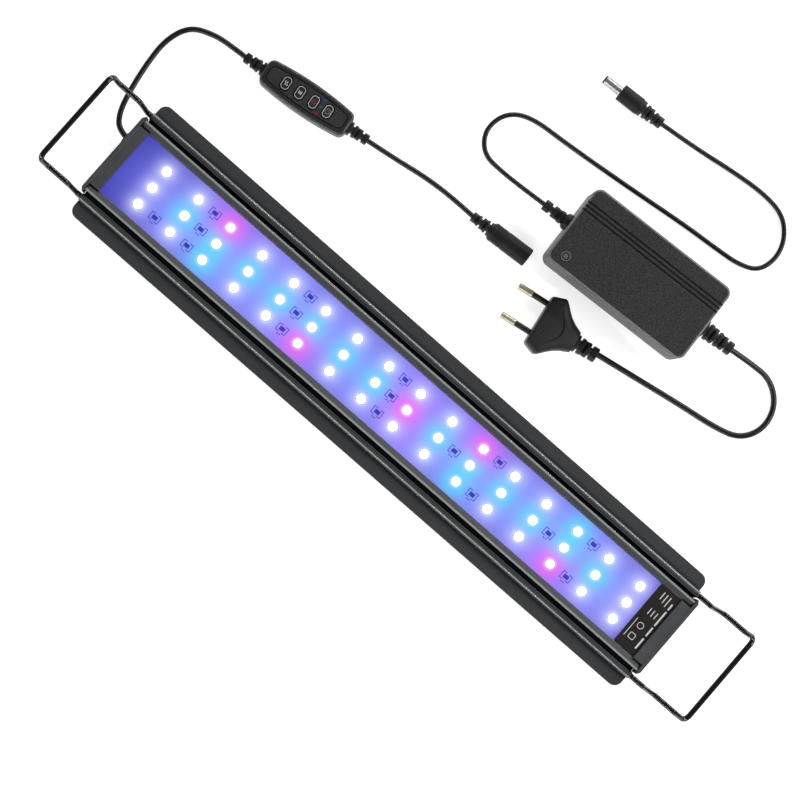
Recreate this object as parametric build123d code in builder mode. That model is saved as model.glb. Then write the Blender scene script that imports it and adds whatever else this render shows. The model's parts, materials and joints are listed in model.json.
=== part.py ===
"""LED aquarium light with two sliding wire brackets, in-line controller and power adapter.

Frame: millimetres, the light lies on its back on the plane z = 0 with its LEDs facing +Z.
+X runs along the light from the cord end to the label end, +Y points towards the adapter.
The origin is the middle of the light's flat back.
"""
import os
from math import acos, cos, pi, radians, sin, tan

from build123d import *

# ---------------------------------------------------------------- driving dimensions: the light
LIGHT_LENGTH = 400.0
LIGHT_WIDTH = 80.0
HOUSING_HEIGHT = 12.5
WING_THICKNESS = 2.0
WING_CORNER = 5.0
FLOOR_THICKNESS = 3.0
CHANNEL_HALF_WIDTH = 25.0       # outside of the channel's side walls
WINDOW_HALF_WIDTH = 20.7        # inside of the channel's side walls
LIP_FLAT = 0.9                  # flat rim on top of each side wall
GROOVE_DEPTH = 1.2              # slots in the side walls that hold the board and the cover
BACK_GROOVES = 8
BACK_GROOVE_WIDTH = 1.6
BACK_GROOVE_DEPTH = 0.5
BACK_GROOVE_PITCH = 4.6

BOARD_THICKNESS = 1.6
COVER_THICKNESS = 2.0
COVER_BOTTOM = 8.5
SLOT_CLEARANCE = 0.05
EDGE_CLEARANCE = 0.2

WIRE_DIAMETER = 3.2
WIRE_CLEARANCE = 0.05           # radial, between the bracket legs and their rails
RAIL_CENTRE = 29.2              # distance of each bracket leg from the light's middle
RAIL_HEIGHT = 6.6               # height of the legs' axes
RAIL_WALL = 0.6
RAIL_MOUTH = 2.0
RAIL_CREST = 0.05               # half the flat left on top of each round rail

# brackets
LEG_LENGTH = 150.0              # straight leg inside the rail when the bracket is pushed home
STEP_RISE = 20.5
STEP_RUN = 4.0
ARM_RUN = 14.5
CORNER_RISE = 10.0
CORNER_RUN = 4.0
STEP_BEND = 3.0
CORNER_BEND = 4.0
LEFT_PULL = 3.4                 # how far each bracket is pulled out as it lies
RIGHT_PULL = 10.2

# end caps
CAP_THICKNESS = 2.0
CAP_HALF_WIDTH = 26.7
CAP_CHAMFER = 2.0
GASKET_THICKNESS = 0.5
TONGUE_LENGTH = 6.0
TONGUE_HEIGHT = 1.7
SPIGOT_LENGTH = 4.0
SCREW_HEIGHT = 6.9
SCREW_LENGTH = 10.0
SCREW_CORE = 2.4
SCREW_HEAD = 4.4
SCREW_HEAD_DEPTH = 1.1

# LEDs on the board
LED_COLUMNS = 16
LED_PITCH = 23.1
FIRST_COLUMN = -174.0
ROW_PITCH = 11.8
LED_SIZE = 5.0
LED_HEIGHT = 1.6
LENS_DIAMETER = 3.6
RED_LEDS = ((3, 1), (6, -1), (9, 0), (11, 1), (14, -1))
BLUE_LEDS = (
    tuple((column, 0) for column in range(2, 9))
    + tuple((column, 0) for column in range(10, 16))
    + ((3, -1), (11, -1), (14, 1))
)
RESISTOR_SPOTS = (
    ((1, -1),)
    + tuple((column, row) for column in (2, 5, 8) for row in (-1, 0, 1))
    + ((10, 0), (11, 1), (11, -1), (13, 0), (14, 1), (14, -1))
)
RESISTOR_SIZE = (3.2, 2.4, 0.7)
LABEL_LENGTH = 14.2
LABEL_THICKNESS = 0.3

# ---------------------------------------------------------------- driving dimensions: cords
LIGHT_CORD = 3.2
SOCKET_CORD = 3.0
ADAPTER_CORD = 2.8
MAINS_CORD = 3.4
CORD_EXIT_Y = 10.8
CORD_EXIT_Z = 6.6
GROMMET_DIAMETER = 6.0
GROMMET_FLANGE = 7.6
GROMMET_LIP = 0.8
LEAD_DIAMETER = 1.1

# ---------------------------------------------------------------- driving dimensions: controller
CONTROLLER_CENTRE = (-143.1, 92.7)
CONTROLLER_ANGLE = 7.0
CONTROLLER_LENGTH = 56.0
CONTROLLER_WIDTH = 18.6
CONTROLLER_END_WIDTH = 14.4
CONTROLLER_HEIGHT = 11.0
CONTROLLER_CORNER = 4.0
CONTROLLER_WALL = 1.5
FACE_INSET = 2.9
FACE_THICKNESS = 0.8
BUTTON_PITCH = 9.1
BUTTON_OFFSET = -13.6           # first button, along the controller from its centre
BUTTON_LENGTH = 5.2
BUTTON_WIDTH = 7.8
BUTTON_CUT = 1.5
BUTTON_PROUD = 0.7
BUTTON_CLEARANCE = 0.3
BUTTON_FLANGE = 0.6
INDICATOR_DIAMETER = 1.8
INDICATOR_PITCH = 4.3
RELIEF_ROOT = 7.4
RELIEF_TIP = 5.6

# ---------------------------------------------------------------- driving dimensions: DC socket
SOCKET_END = (6.2, 107.5)
SOCKET_ANGLE = 4.2
SOCKET_DIAMETER = 11.0
SOCKET_LENGTH = 26.0
SOCKET_RELIEF = 12.5
SOCKET_BORE = 5.7
SOCKET_DEPTH = 10.5
CENTRE_PIN = 2.1

# ---------------------------------------------------------------- driving dimensions: adapter
ADAPTER_CENTRE = (57.0, 138.8)
ADAPTER_ANGLE = 3.5
ADAPTER_LENGTH = 94.0
ADAPTER_WIDTH = 49.0
ADAPTER_HEIGHT = 26.0
ADAPTER_SPLIT = 13.0
ADAPTER_CORNER = 5.0
ADAPTER_WALL = 2.0
ADAPTER_EDGE = 1.8
GROOVES = 3
GROOVE_WIDTH = 1.2
GROOVE_PITCH = 2.5
GROOVE_OFFSET = 11.6
LAMP_SPOT = (-38.0, -17.4)
LAMP_DIAMETER = 3.0
LAMP_RING = 5.4

# barrel plug
BARREL_END = (13.4, 213.4)
BARREL_ANGLE = 183.3
BARREL_BODY = 10.0
BARREL_BODY_LENGTH = 14.5
BARREL_RELIEF = 14.5
BARREL_DIAMETER = 5.5
BARREL_LENGTH = 11.5
BARREL_BORE = 2.5
BARREL_ROOT = 4.0              # how far the tube's narrower root sits inside the body
BARREL_ROOT_DIAMETER = 4.6
BARREL_TIP = 0.8

# mains plug
PLUG_END = (70.0, 92.6)
PLUG_ANGLE = 189.3
PLUG_WIDTH = 35.3
PLUG_THICKNESS = 13.7
PLUG_LENGTH = 24.0
PLUG_NECK = 13.0
PLUG_RELIEF = 14.0
PIN_DIAMETER = 4.0
PIN_LENGTH = 19.0
PIN_SLEEVE = 10.0
SLEEVE_DIAMETER = 3.4
PIN_CORE = 2.4
PIN_ROOT = 6.0
PIN_ROUNDING = 0.9
PIN_SPACING = 18.6

# ---------------------------------------------------------------- sizes worked out from the above
HALF_LENGTH = LIGHT_LENGTH / 2
BOARD_TOP = FLOOR_THICKNESS + BOARD_THICKNESS
BOARD_HALF_WIDTH = WINDOW_HALF_WIDTH + GROOVE_DEPTH - EDGE_CLEARANCE
COVER_TOP = COVER_BOTTOM + COVER_THICKNESS
LIP_HEIGHT = COVER_TOP + 0.4
WALL_MIDDLE = (WINDOW_HALF_WIDTH + CHANNEL_HALF_WIDTH) / 2
RAIL_BORE = WIRE_DIAMETER / 2 + WIRE_CLEARANCE
RAIL_TOP = RAIL_HEIGHT + RAIL_BORE + RAIL_WALL
CAP_INNER = HALF_LENGTH + GASKET_THICKNESS
CAP_OUTER = CAP_INNER + CAP_THICKNESS
TONGUE_INNER = HALF_LENGTH - TONGUE_LENGTH

os.makedirs("parts", exist_ok=True)


def save(piece, name):
    """Label a finished piece and write it as its own STEP file."""
    piece.part.label = name
    export_step(piece.part, f"parts/{name}.step")


def lying(centre, angle, height=0.0):
    """Plane parallel to the ground whose x axis is turned by angle about +Z."""
    turn = radians(angle)
    return Plane(origin=(centre[0], centre[1], height), x_dir=(cos(turn), sin(turn), 0), z_dir=(0, 0, 1))


def upright(base, along, height, outward=1):
    """Plane that holds a piece's axis: x runs outward along base's x axis, y runs up."""
    origin = base.from_local_coords(Vector(along, 0, 0))
    direction = base.x_dir * outward
    return Plane(origin=(origin.X, origin.Y, height), x_dir=direction, z_dir=direction.cross(Vector(0, 0, 1)))


def turned(plane, outline):
    """Solid of revolution about the plane's x axis, from points given as (along, radius)."""
    with BuildPart() as piece:
        with BuildSketch(plane):
            with BuildLine():
                Polyline(*outline, close=True)
            make_face()
        revolve(axis=Axis(plane.origin, plane.x_dir))
    return piece


def ribbed_relief(plane, wall, length, ribs, root, tip, neck, hold):
    """Moulded strain relief: a held flange inside a wall, a neck, then ribs that shrink to the tip."""
    pitch = length / ribs
    rib = pitch * 0.62
    outline = [(-wall - 1.2, 0), (-wall - 1.2, hold / 2), (-wall - 0.05, hold / 2), (-wall - 0.05, neck / 2)]
    for number in range(ribs):
        start = number * pitch + (0.05 if number == 0 else 0)
        end = length if number == ribs - 1 else number * pitch + rib
        radius = (root + (tip - root) * number / (ribs - 1)) / 2
        waist = radius * 0.72
        outline.append((start, neck / 2 if number == 0 else last_waist))
        outline += [(start, radius), (end, radius)]
        if number < ribs - 1:
            outline.append((end, waist))
        last_waist = waist
    outline.append((length, 0))
    return turned(plane, outline)


def bend_radii(points):
    """Largest even bend at each corner of a route: 0.45 of the shorter run over tan(half turn)."""
    radii = []
    corners = [Vector(*point) for point in points]
    for before, corner, after in zip(corners, corners[1:], corners[2:]):
        incoming, outgoing = corner - before, after - corner
        cosine = incoming.normalized().dot(outgoing.normalized())
        half_turn = acos(max(-1.0, min(1.0, cosine))) / 2
        radii.append(0.45 * min(incoming.length, outgoing.length) / tan(half_turn))
    return radii


def cord(name, points, diameter):
    """Round cord along straight runs joined by tangent arcs."""
    radii = bend_radii(points)
    with BuildPart() as tube:
        with BuildLine() as route:
            FilletPolyline(*points, radius=radii)
        start = route.line @ 0
        with BuildSketch(Plane(origin=start, z_dir=route.line % 0)):
            Circle(diameter / 2)
        sweep()
    length = sum(edge.length for edge in route.edges())
    ratio = tube.part.volume / (pi * diameter**2 / 4 * length)
    print(f"{name}: length {length:.1f}, volume ratio {ratio:.4f}, bends", [round(r, 1) for r in radii])
    save(tube, name)


# ---------------------------------------------------------------- housing
with BuildPart() as housing:
    with BuildSketch(Plane.YZ.offset(-HALF_LENGTH)):
        Rectangle(LIGHT_WIDTH, WING_THICKNESS, align=(Align.CENTER, Align.MIN))
        Rectangle(2 * CHANNEL_HALF_WIDTH, HOUSING_HEIGHT, align=(Align.CENTER, Align.MIN))
        rail_width = 2 * (RAIL_BORE + RAIL_WALL)
        with Locations(*[(side * RAIL_CENTRE, RAIL_TOP / 2) for side in (-1, 1)]):
            RectangleRounded(rail_width, RAIL_TOP, rail_width / 2 - RAIL_CREST)
        with Locations((0, FLOOR_THICKNESS)):
            Rectangle(
                2 * WINDOW_HALF_WIDTH, HOUSING_HEIGHT, align=(Align.CENTER, Align.MIN), mode=Mode.SUBTRACT
            )
            Rectangle(
                2 * (WINDOW_HALF_WIDTH + GROOVE_DEPTH), BOARD_THICKNESS + SLOT_CLEARANCE,
                align=(Align.CENTER, Align.MIN), mode=Mode.SUBTRACT,
            )
        with Locations((0, COVER_BOTTOM)):
            Rectangle(
                2 * (WINDOW_HALF_WIDTH + GROOVE_DEPTH), COVER_THICKNESS + SLOT_CLEARANCE,
                align=(Align.CENTER, Align.MIN), mode=Mode.SUBTRACT,
            )
        for side in (-1, 1):
            bevel_top = side * (CHANNEL_HALF_WIDTH - LIP_FLAT)
            with BuildLine():
                Polyline(
                    (side * WINDOW_HALF_WIDTH, LIP_HEIGHT), (bevel_top, HOUSING_HEIGHT),
                    (bevel_top, HOUSING_HEIGHT + 1), (side * WINDOW_HALF_WIDTH, HOUSING_HEIGHT + 1),
                    close=True,
                )
            make_face(mode=Mode.SUBTRACT)
            with Locations((side * RAIL_CENTRE, RAIL_HEIGHT)):
                Circle(RAIL_BORE, mode=Mode.SUBTRACT)
            with Locations((side * (RAIL_CENTRE - rail_width / 2), RAIL_HEIGHT)):
                Rectangle(rail_width, RAIL_MOUTH, mode=Mode.SUBTRACT)
            with Locations((side * WALL_MIDDLE, SCREW_HEIGHT)):
                Circle(SCREW_CORE / 2, mode=Mode.SUBTRACT)
        with GridLocations(BACK_GROOVE_PITCH, 0, BACK_GROOVES, 1):
            Rectangle(BACK_GROOVE_WIDTH, 2 * BACK_GROOVE_DEPTH, mode=Mode.SUBTRACT)
    extrude(amount=LIGHT_LENGTH)
    wing_corners = housing.edges().filter_by(Axis.Z).filter_by(
        lambda edge: abs(edge.center().Y) > LIGHT_WIDTH / 2 - 0.1
    )
    fillet(wing_corners, WING_CORNER)
save(housing, "housing_extrusion")

# ---------------------------------------------------------------- board, LEDs, cover and label
with BuildPart() as circuit_board:
    with BuildSketch(Plane.XY.offset(FLOOR_THICKNESS)):
        Rectangle(LIGHT_LENGTH - 4, 2 * BOARD_HALF_WIDTH)
    extrude(amount=BOARD_THICKNESS)
save(circuit_board, "circuit_board")


def led_spot(column, row):
    """Place of one LED on the board; columns count from 1, rows are -1, 0 and 1."""
    return (FIRST_COLUMN + (column - 1) * LED_PITCH, row * ROW_PITCH)


def led_group(name, numbers):
    """LEDs of one colour: square packages with a round lens well."""
    spots = [led_spot(*number) for number in numbers]
    with BuildPart() as group:
        with BuildSketch(Plane.XY.offset(BOARD_TOP)):
            with Locations(*spots):
                RectangleRounded(LED_SIZE, LED_SIZE, 0.4)
        extrude(amount=LED_HEIGHT)
        with BuildSketch(Plane.XY.offset(BOARD_TOP + LED_HEIGHT)):
            with Locations(*spots):
                Circle(LENS_DIAMETER / 2)
        extrude(amount=-0.2, mode=Mode.SUBTRACT)
    save(group, name)


every_led = {(column, row) for column in range(1, LED_COLUMNS + 1) for row in (-1, 0, 1)}
led_group("leds_white", sorted(every_led - set(RED_LEDS) - set(BLUE_LEDS)))
led_group("leds_blue", BLUE_LEDS)
led_group("leds_red", RED_LEDS)

with BuildPart() as resistors:
    length, width, height = RESISTOR_SIZE
    with BuildSketch(Plane.XY.offset(BOARD_TOP)):
        with Locations(*[led_spot(column + 0.5, row) for column, row in RESISTOR_SPOTS]):
            Rectangle(length, width)
    extrude(amount=height)
save(resistors, "resistors")

with BuildPart() as clear_cover:
    with BuildSketch(Plane.XY.offset(COVER_BOTTOM + SLOT_CLEARANCE / 2)):
        Rectangle(LIGHT_LENGTH - 1, 2 * BOARD_HALF_WIDTH)
    extrude(amount=COVER_THICKNESS)
save(clear_cover, "clear_cover")

with BuildPart() as rating_label:
    with BuildSketch(Plane.XY.offset(COVER_TOP + SLOT_CLEARANCE / 2)):
        with Locations((TONGUE_INNER - 0.2 - LABEL_LENGTH / 2, 0)):
            RectangleRounded(LABEL_LENGTH, 2 * WINDOW_HALF_WIDTH - 0.6, 0.5)
    extrude(amount=LABEL_THICKNESS)
save(rating_label, "rating_label")


# ---------------------------------------------------------------- end caps, gaskets, screws
def end_cap(name, side, cord_hole):
    """Moulded cap: end plate, a tongue over the clear cover and a spigot between board and cover."""
    outward = Plane(origin=(side * CAP_INNER, 0, 0), x_dir=(0, 1, 0), z_dir=(1, 0, 0))
    with BuildPart() as cap:
        with BuildSketch(outward):
            Rectangle(2 * CAP_HALF_WIDTH, HOUSING_HEIGHT, align=(Align.CENTER, Align.MIN))
        extrude(amount=side * CAP_THICKNESS)
        corners = cap.edges().filter_by(Axis.Z).filter_by(lambda edge: abs(edge.center().X) > CAP_OUTER - 0.1)
        chamfer(corners, length=CAP_THICKNESS * 0.7, length2=CAP_CHAMFER)
        with BuildSketch(outward):
            with Locations((0, COVER_TOP + SLOT_CLEARANCE)):
                Rectangle(
                    2 * (WINDOW_HALF_WIDTH - 0.1), TONGUE_HEIGHT, align=(Align.CENTER, Align.MIN)
                )
        extrude(amount=-side * (TONGUE_LENGTH + GASKET_THICKNESS))
        with BuildSketch(outward):
            with Locations((0, BOARD_TOP + 0.3)):
                Rectangle(
                    2 * (WINDOW_HALF_WIDTH - 0.4), COVER_BOTTOM - BOARD_TOP - 0.6,
                    align=(Align.CENTER, Align.MIN),
                )
            if cord_hole:
                with Locations((CORD_EXIT_Y, CORD_EXIT_Z)):
                    Rectangle(GROMMET_DIAMETER, GROMMET_DIAMETER, mode=Mode.SUBTRACT)
        extrude(amount=-side * (SPIGOT_LENGTH + GASKET_THICKNESS))
        for wall in (-1, 1):
            hole = Plane(
                origin=(side * CAP_OUTER, wall * WALL_MIDDLE, SCREW_HEIGHT), x_dir=(0, 1, 0), z_dir=(side, 0, 0)
            )
            with Locations(hole):
                CounterSinkHole(SCREW_CORE / 2 + 0.15, SCREW_HEAD / 2 + 0.05, depth=CAP_THICKNESS + 1)
        if cord_hole:
            with BuildSketch(outward):
                with Locations((CORD_EXIT_Y, CORD_EXIT_Z)):
                    Circle(GROMMET_DIAMETER / 2)
            extrude(amount=side * CAP_THICKNESS, both=True, mode=Mode.SUBTRACT)
    save(cap, name)


def gasket(name, side):
    """Foam gasket between cap and extrusion, following the channel's U-shaped end."""
    with BuildPart() as seal:
        with BuildSketch(Plane.YZ.offset(side * HALF_LENGTH)):
            Rectangle(2 * CHANNEL_HALF_WIDTH, HOUSING_HEIGHT, align=(Align.CENTER, Align.MIN))
            with Locations((0, FLOOR_THICKNESS)):
                Rectangle(
                    2 * WINDOW_HALF_WIDTH, HOUSING_HEIGHT, align=(Align.CENTER, Align.MIN), mode=Mode.SUBTRACT
                )
            with Locations((WALL_MIDDLE, SCREW_HEIGHT), (-WALL_MIDDLE, SCREW_HEIGHT)):
                Circle(SCREW_CORE / 2 + 0.1, mode=Mode.SUBTRACT)
        extrude(amount=side * GASKET_THICKNESS)
    save(seal, name)


end_cap("end_cap_left", -1, True)
end_cap("end_cap_right", 1, False)
gasket("gasket_left", -1)
gasket("gasket_right", 1)

with BuildPart() as end_cap_screws:
    for side in (-1, 1):
        for wall in (-1, 1):
            seat = Plane(
                origin=(side * CAP_OUTER, wall * WALL_MIDDLE, SCREW_HEIGHT), x_dir=(0, 1, 0), z_dir=(side, 0, 0)
            )
            with Locations(seat):
                Cylinder(SCREW_CORE / 2 - 0.02, SCREW_LENGTH, align=(Align.CENTER, Align.CENTER, Align.MAX))
                Cone(
                    SCREW_CORE / 2 - 0.1, SCREW_HEAD / 2, SCREW_HEAD_DEPTH,
                    align=(Align.CENTER, Align.CENTER, Align.MAX),
                )
            with BuildSketch(seat):
                Rectangle(2.2, 0.5)
                Rectangle(0.5, 2.2)
            extrude(amount=-0.6, mode=Mode.SUBTRACT)
save(end_cap_screws, "end_cap_screws")

# ---------------------------------------------------------------- cord grommet and leads
cap_axis = Plane(origin=(-CAP_OUTER, CORD_EXIT_Y, CORD_EXIT_Z), x_dir=(-1, 0, 0), z_dir=(0, 1, 0))
cord_grommet = turned(cap_axis, [
    (GROMMET_LIP, LIGHT_CORD / 2), (GROMMET_LIP, GROMMET_FLANGE / 2 - 0.5), (0, GROMMET_FLANGE / 2),
    (0, GROMMET_DIAMETER / 2), (-CAP_THICKNESS, GROMMET_DIAMETER / 2), (-CAP_THICKNESS, LIGHT_CORD / 2),
])
save(cord_grommet, "cord_grommet")

with BuildPart() as lead_wires:
    for offset in (-1.05, 0, 1.05):
        cord_end = (-HALF_LENGTH + 3, CORD_EXIT_Y + offset, CORD_EXIT_Z)
        over_pad = (-HALF_LENGTH + 4.8, CORD_EXIT_Y + offset, CORD_EXIT_Z)
        pad = (-HALF_LENGTH + 4.8, CORD_EXIT_Y + offset, BOARD_TOP)
        with BuildLine() as lead:
            FilletPolyline(cord_end, over_pad, pad, radius=1.0)
        with BuildSketch(Plane(origin=cord_end, z_dir=(1, 0, 0))):
            Circle(LEAD_DIAMETER / 2 - 0.1)
        sweep(path=lead.line)
save(lead_wires, "lead_wires")


# ---------------------------------------------------------------- wire brackets
def bracket(name, side, pull):
    """U-shaped bent wire: two legs in the rails, a step up, short arms and a raised cross bar."""
    step = HALF_LENGTH + pull
    corner = step + STEP_RUN + ARM_RUN + CORNER_RUN
    arm_height = RAIL_HEIGHT + STEP_RISE
    half = [
        (step - LEG_LENGTH, RAIL_HEIGHT),
        (step, RAIL_HEIGHT),
        (step + STEP_RUN, arm_height),
        (step + STEP_RUN + ARM_RUN, arm_height),
        (corner, arm_height + CORNER_RISE),
    ]
    route = [(side * x, RAIL_CENTRE, z) for x, z in half]
    route += [(side * x, -RAIL_CENTRE, z) for x, z in reversed(half)]
    bends = [STEP_BEND, STEP_BEND, CORNER_BEND, CORNER_BEND]
    with BuildPart() as wire:
        with BuildLine() as line:
            FilletPolyline(*route, radius=bends + bends[::-1])
        with BuildSketch(Plane(origin=route[0], z_dir=(side, 0, 0))):
            Circle(WIRE_DIAMETER / 2)
        sweep(path=line.line)
    save(wire, name)


bracket("bracket_left", -1, LEFT_PULL)
bracket("bracket_right", 1, RIGHT_PULL)

# ---------------------------------------------------------------- in-line controller
CONTROLLER_SPLIT = CONTROLLER_HEIGHT / 2
FACE_BOTTOM = CONTROLLER_HEIGHT - FACE_THICKNESS
TOP_WALL_BOTTOM = FACE_BOTTOM - 1.2
SWITCH_BOARD = 3.0
SWITCH_BOARD_THICKNESS = 1.2
SWITCH_TOP = 7.6
BUTTON_BOTTOM = SWITCH_TOP + 0.55
RELIEF_LENGTH = 12.5
controller = lying(CONTROLLER_CENTRE, CONTROLLER_ANGLE)
button_places = [(BUTTON_OFFSET + number * BUTTON_PITCH, 0) for number in range(4)]
indicator_x = BUTTON_OFFSET + 2.5 * BUTTON_PITCH


def controller_outline(inset):
    """Plan of the controller: bowed long sides, straight ends, rounded corners."""
    end_x = CONTROLLER_LENGTH / 2 - inset
    end_y = CONTROLLER_END_WIDTH / 2 - inset
    middle_y = CONTROLLER_WIDTH / 2 - inset
    with BuildLine() as outline:
        ThreePointArc((-end_x, end_y), (0, middle_y), (end_x, end_y))
        Line((end_x, end_y), (end_x, -end_y))
        ThreePointArc((end_x, -end_y), (0, -middle_y), (-end_x, -end_y))
        Line((-end_x, -end_y), (-end_x, end_y))
    make_face(outline.edges())
    fillet(vertices(), max(CONTROLLER_CORNER - inset * 0.3, 1.0))


def octagon(grow):
    """Button outline: a rectangle with its four corners cut off."""
    long, wide, cut = BUTTON_LENGTH / 2 + grow, BUTTON_WIDTH / 2 + grow, BUTTON_CUT
    with BuildLine() as outline:
        Polyline(
            (long - cut, wide), (long, wide - cut), (long, cut - wide), (long - cut, -wide),
            (cut - long, -wide), (-long, cut - wide), (-long, wide - cut), (cut - long, wide), close=True,
        )
    make_face(outline.edges())


def button_plane(place, height):
    """Plane at one button's place, turned with the controller."""
    return lying(tuple(controller.from_local_coords(Vector(*place))), CONTROLLER_ANGLE, height)


def end_holes(diameter):
    """Holes in both ends of the controller for the strain reliefs, centred on the split."""
    for end in (-1, 1):
        axis = upright(controller, end * CONTROLLER_LENGTH / 2, CONTROLLER_SPLIT, end)
        with BuildSketch(Plane(origin=axis.origin, z_dir=axis.x_dir)) as hole:
            Circle(diameter / 2)
        extrude(hole.sketch, amount=-2 * CONTROLLER_WALL, mode=Mode.SUBTRACT)


with BuildPart() as controller_lower_case:
    with BuildSketch(controller):
        controller_outline(0)
    extrude(amount=CONTROLLER_SPLIT)
    fillet(controller_lower_case.faces().sort_by(Axis.Z)[0].edges(), 1.4)
    with BuildSketch(controller.offset(CONTROLLER_WALL)):
        controller_outline(CONTROLLER_WALL)
    extrude(amount=CONTROLLER_HEIGHT, mode=Mode.SUBTRACT)
    with BuildSketch(controller.offset(CONTROLLER_WALL)):
        with Locations((-19, 0), (19, 0)):
            Circle(1.5)
    extrude(amount=SWITCH_BOARD - CONTROLLER_WALL)
    end_holes(4.6)
save(controller_lower_case, "controller_lower_case")

with BuildPart() as controller_upper_case:
    with BuildSketch(controller.offset(CONTROLLER_SPLIT)):
        controller_outline(0)
    extrude(amount=CONTROLLER_HEIGHT - CONTROLLER_SPLIT)
    fillet(controller_upper_case.faces().sort_by(Axis.Z)[-1].edges(), 1.8)
    with BuildSketch(controller.offset(CONTROLLER_SPLIT)):
        controller_outline(CONTROLLER_WALL)
    extrude(amount=TOP_WALL_BOTTOM - CONTROLLER_SPLIT, mode=Mode.SUBTRACT)
    with BuildSketch(controller.offset(FACE_BOTTOM)):
        controller_outline(FACE_INSET)
    extrude(amount=CONTROLLER_HEIGHT, mode=Mode.SUBTRACT)
    for place in button_places:
        with BuildSketch(button_plane(place, TOP_WALL_BOTTOM - 1)):
            octagon(BUTTON_CLEARANCE)
        extrude(amount=CONTROLLER_HEIGHT, mode=Mode.SUBTRACT)
    with BuildSketch(controller.offset(TOP_WALL_BOTTOM - 1)):
        with Locations((indicator_x, 0)), GridLocations(1, INDICATOR_PITCH, 1, 3):
            Circle(INDICATOR_DIAMETER / 2 + 0.05)
    extrude(amount=CONTROLLER_HEIGHT, mode=Mode.SUBTRACT)
    end_holes(4.6)
save(controller_upper_case, "controller_upper_case")

with BuildPart() as controller_face_plate:
    with BuildSketch(controller.offset(FACE_BOTTOM)):
        controller_outline(FACE_INSET + 0.15)
    extrude(amount=FACE_THICKNESS)
    for place in button_places:
        with BuildSketch(button_plane(place, FACE_BOTTOM - 1)):
            octagon(BUTTON_CLEARANCE)
        extrude(amount=CONTROLLER_HEIGHT, mode=Mode.SUBTRACT)
    with BuildSketch(controller.offset(FACE_BOTTOM - 1)):
        with Locations((indicator_x, 0)), GridLocations(1, INDICATOR_PITCH, 1, 3):
            Circle(INDICATOR_DIAMETER / 2 + 0.05)
    extrude(amount=CONTROLLER_HEIGHT, mode=Mode.SUBTRACT)
save(controller_face_plate, "controller_face_plate")

with BuildPart() as controller_board:
    with BuildSketch(controller.offset(SWITCH_BOARD)):
        Rectangle(CONTROLLER_LENGTH - 14, CONTROLLER_END_WIDTH - 4)
    extrude(amount=SWITCH_BOARD_THICKNESS)
save(controller_board, "controller_board")

with BuildPart() as key_switches:
    with BuildSketch(controller.offset(SWITCH_BOARD + SWITCH_BOARD_THICKNESS)):
        with Locations(*button_places):
            Rectangle(6.0, 6.0)
    extrude(amount=2.6)
    with BuildSketch(controller.offset(SWITCH_BOARD + SWITCH_BOARD_THICKNESS + 2.6)):
        with Locations(*button_places):
            Circle(1.7)
    extrude(amount=SWITCH_TOP - SWITCH_BOARD - SWITCH_BOARD_THICKNESS - 2.6)
save(key_switches, "key_switches")

for number, place in enumerate(button_places, start=1):
    with BuildPart() as button:
        with BuildSketch(button_plane(place, BUTTON_BOTTOM)):
            octagon(0)
        extrude(amount=CONTROLLER_HEIGHT + BUTTON_PROUD - BUTTON_BOTTOM)
        fillet(button.faces().sort_by(Axis.Z)[-1].edges(), 0.3)
        with BuildSketch(button_plane(place, BUTTON_BOTTOM)):
            octagon(BUTTON_FLANGE)
        extrude(amount=TOP_WALL_BOTTOM - 0.3 - BUTTON_BOTTOM)
    save(button, f"button_{number}")

for row, colour in ((1, "blue"), (0, "green"), (-1, "red")):
    with BuildPart() as indicator:
        with BuildSketch(controller.offset(SWITCH_TOP)):
            with Locations((indicator_x, row * INDICATOR_PITCH)):
                Circle(INDICATOR_DIAMETER / 2)
        extrude(amount=CONTROLLER_HEIGHT + 0.1 - SWITCH_TOP)
    save(indicator, f"indicator_{colour}")

for end, name in ((-1, "controller_relief_left"), (1, "controller_relief_right")):
    axis = upright(controller, end * CONTROLLER_LENGTH / 2, CONTROLLER_SPLIT, end)
    save(ribbed_relief(axis, CONTROLLER_WALL, RELIEF_LENGTH, 4, RELIEF_ROOT, RELIEF_TIP, 4.5, 6.5), name)

# ---------------------------------------------------------------- DC socket at the end of the light's cord
socket_axis = upright(lying(SOCKET_END, SOCKET_ANGLE), 0, SOCKET_DIAMETER / 2)
socket_radius = SOCKET_DIAMETER / 2
sleeve_radius = SOCKET_BORE / 2 + 0.4
socket_back = SOCKET_LENGTH - 1.5
socket_outline = [(-SOCKET_DEPTH - 1, 0), (-SOCKET_DEPTH - 1, sleeve_radius), (0, sleeve_radius)]
socket_outline += [(0, socket_radius - 0.4), (-0.4, socket_radius), (-socket_back + 9, socket_radius)]
for groove in range(6):
    at = -socket_back + 8 - groove * 1.2
    socket_outline += [(at, socket_radius - 0.2), (at - 0.5, socket_radius - 0.2), (at - 0.5, socket_radius)]
    if groove < 5:
        socket_outline.append((at - 1.2, socket_radius))
socket_outline += [(-socket_back, socket_radius), (-SOCKET_LENGTH, socket_radius - 1.4), (-SOCKET_LENGTH, 0)]
dc_socket_body = turned(socket_axis, socket_outline)
save(dc_socket_body, "dc_socket_body")

dc_socket_sleeve = turned(socket_axis, [
    (-SOCKET_DEPTH - 1, SOCKET_BORE / 2), (-0.6, SOCKET_BORE / 2), (-0.6, sleeve_radius),
    (-SOCKET_DEPTH - 1, sleeve_radius),
])
save(dc_socket_sleeve, "dc_socket_sleeve")

dc_socket_pin = turned(socket_axis, [
    (-SOCKET_DEPTH - 1, 0), (-SOCKET_DEPTH - 1, CENTRE_PIN / 2), (-2, CENTRE_PIN / 2), (-1.5, 0.5), (-1.5, 0),
])
save(dc_socket_pin, "dc_socket_pin")

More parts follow.
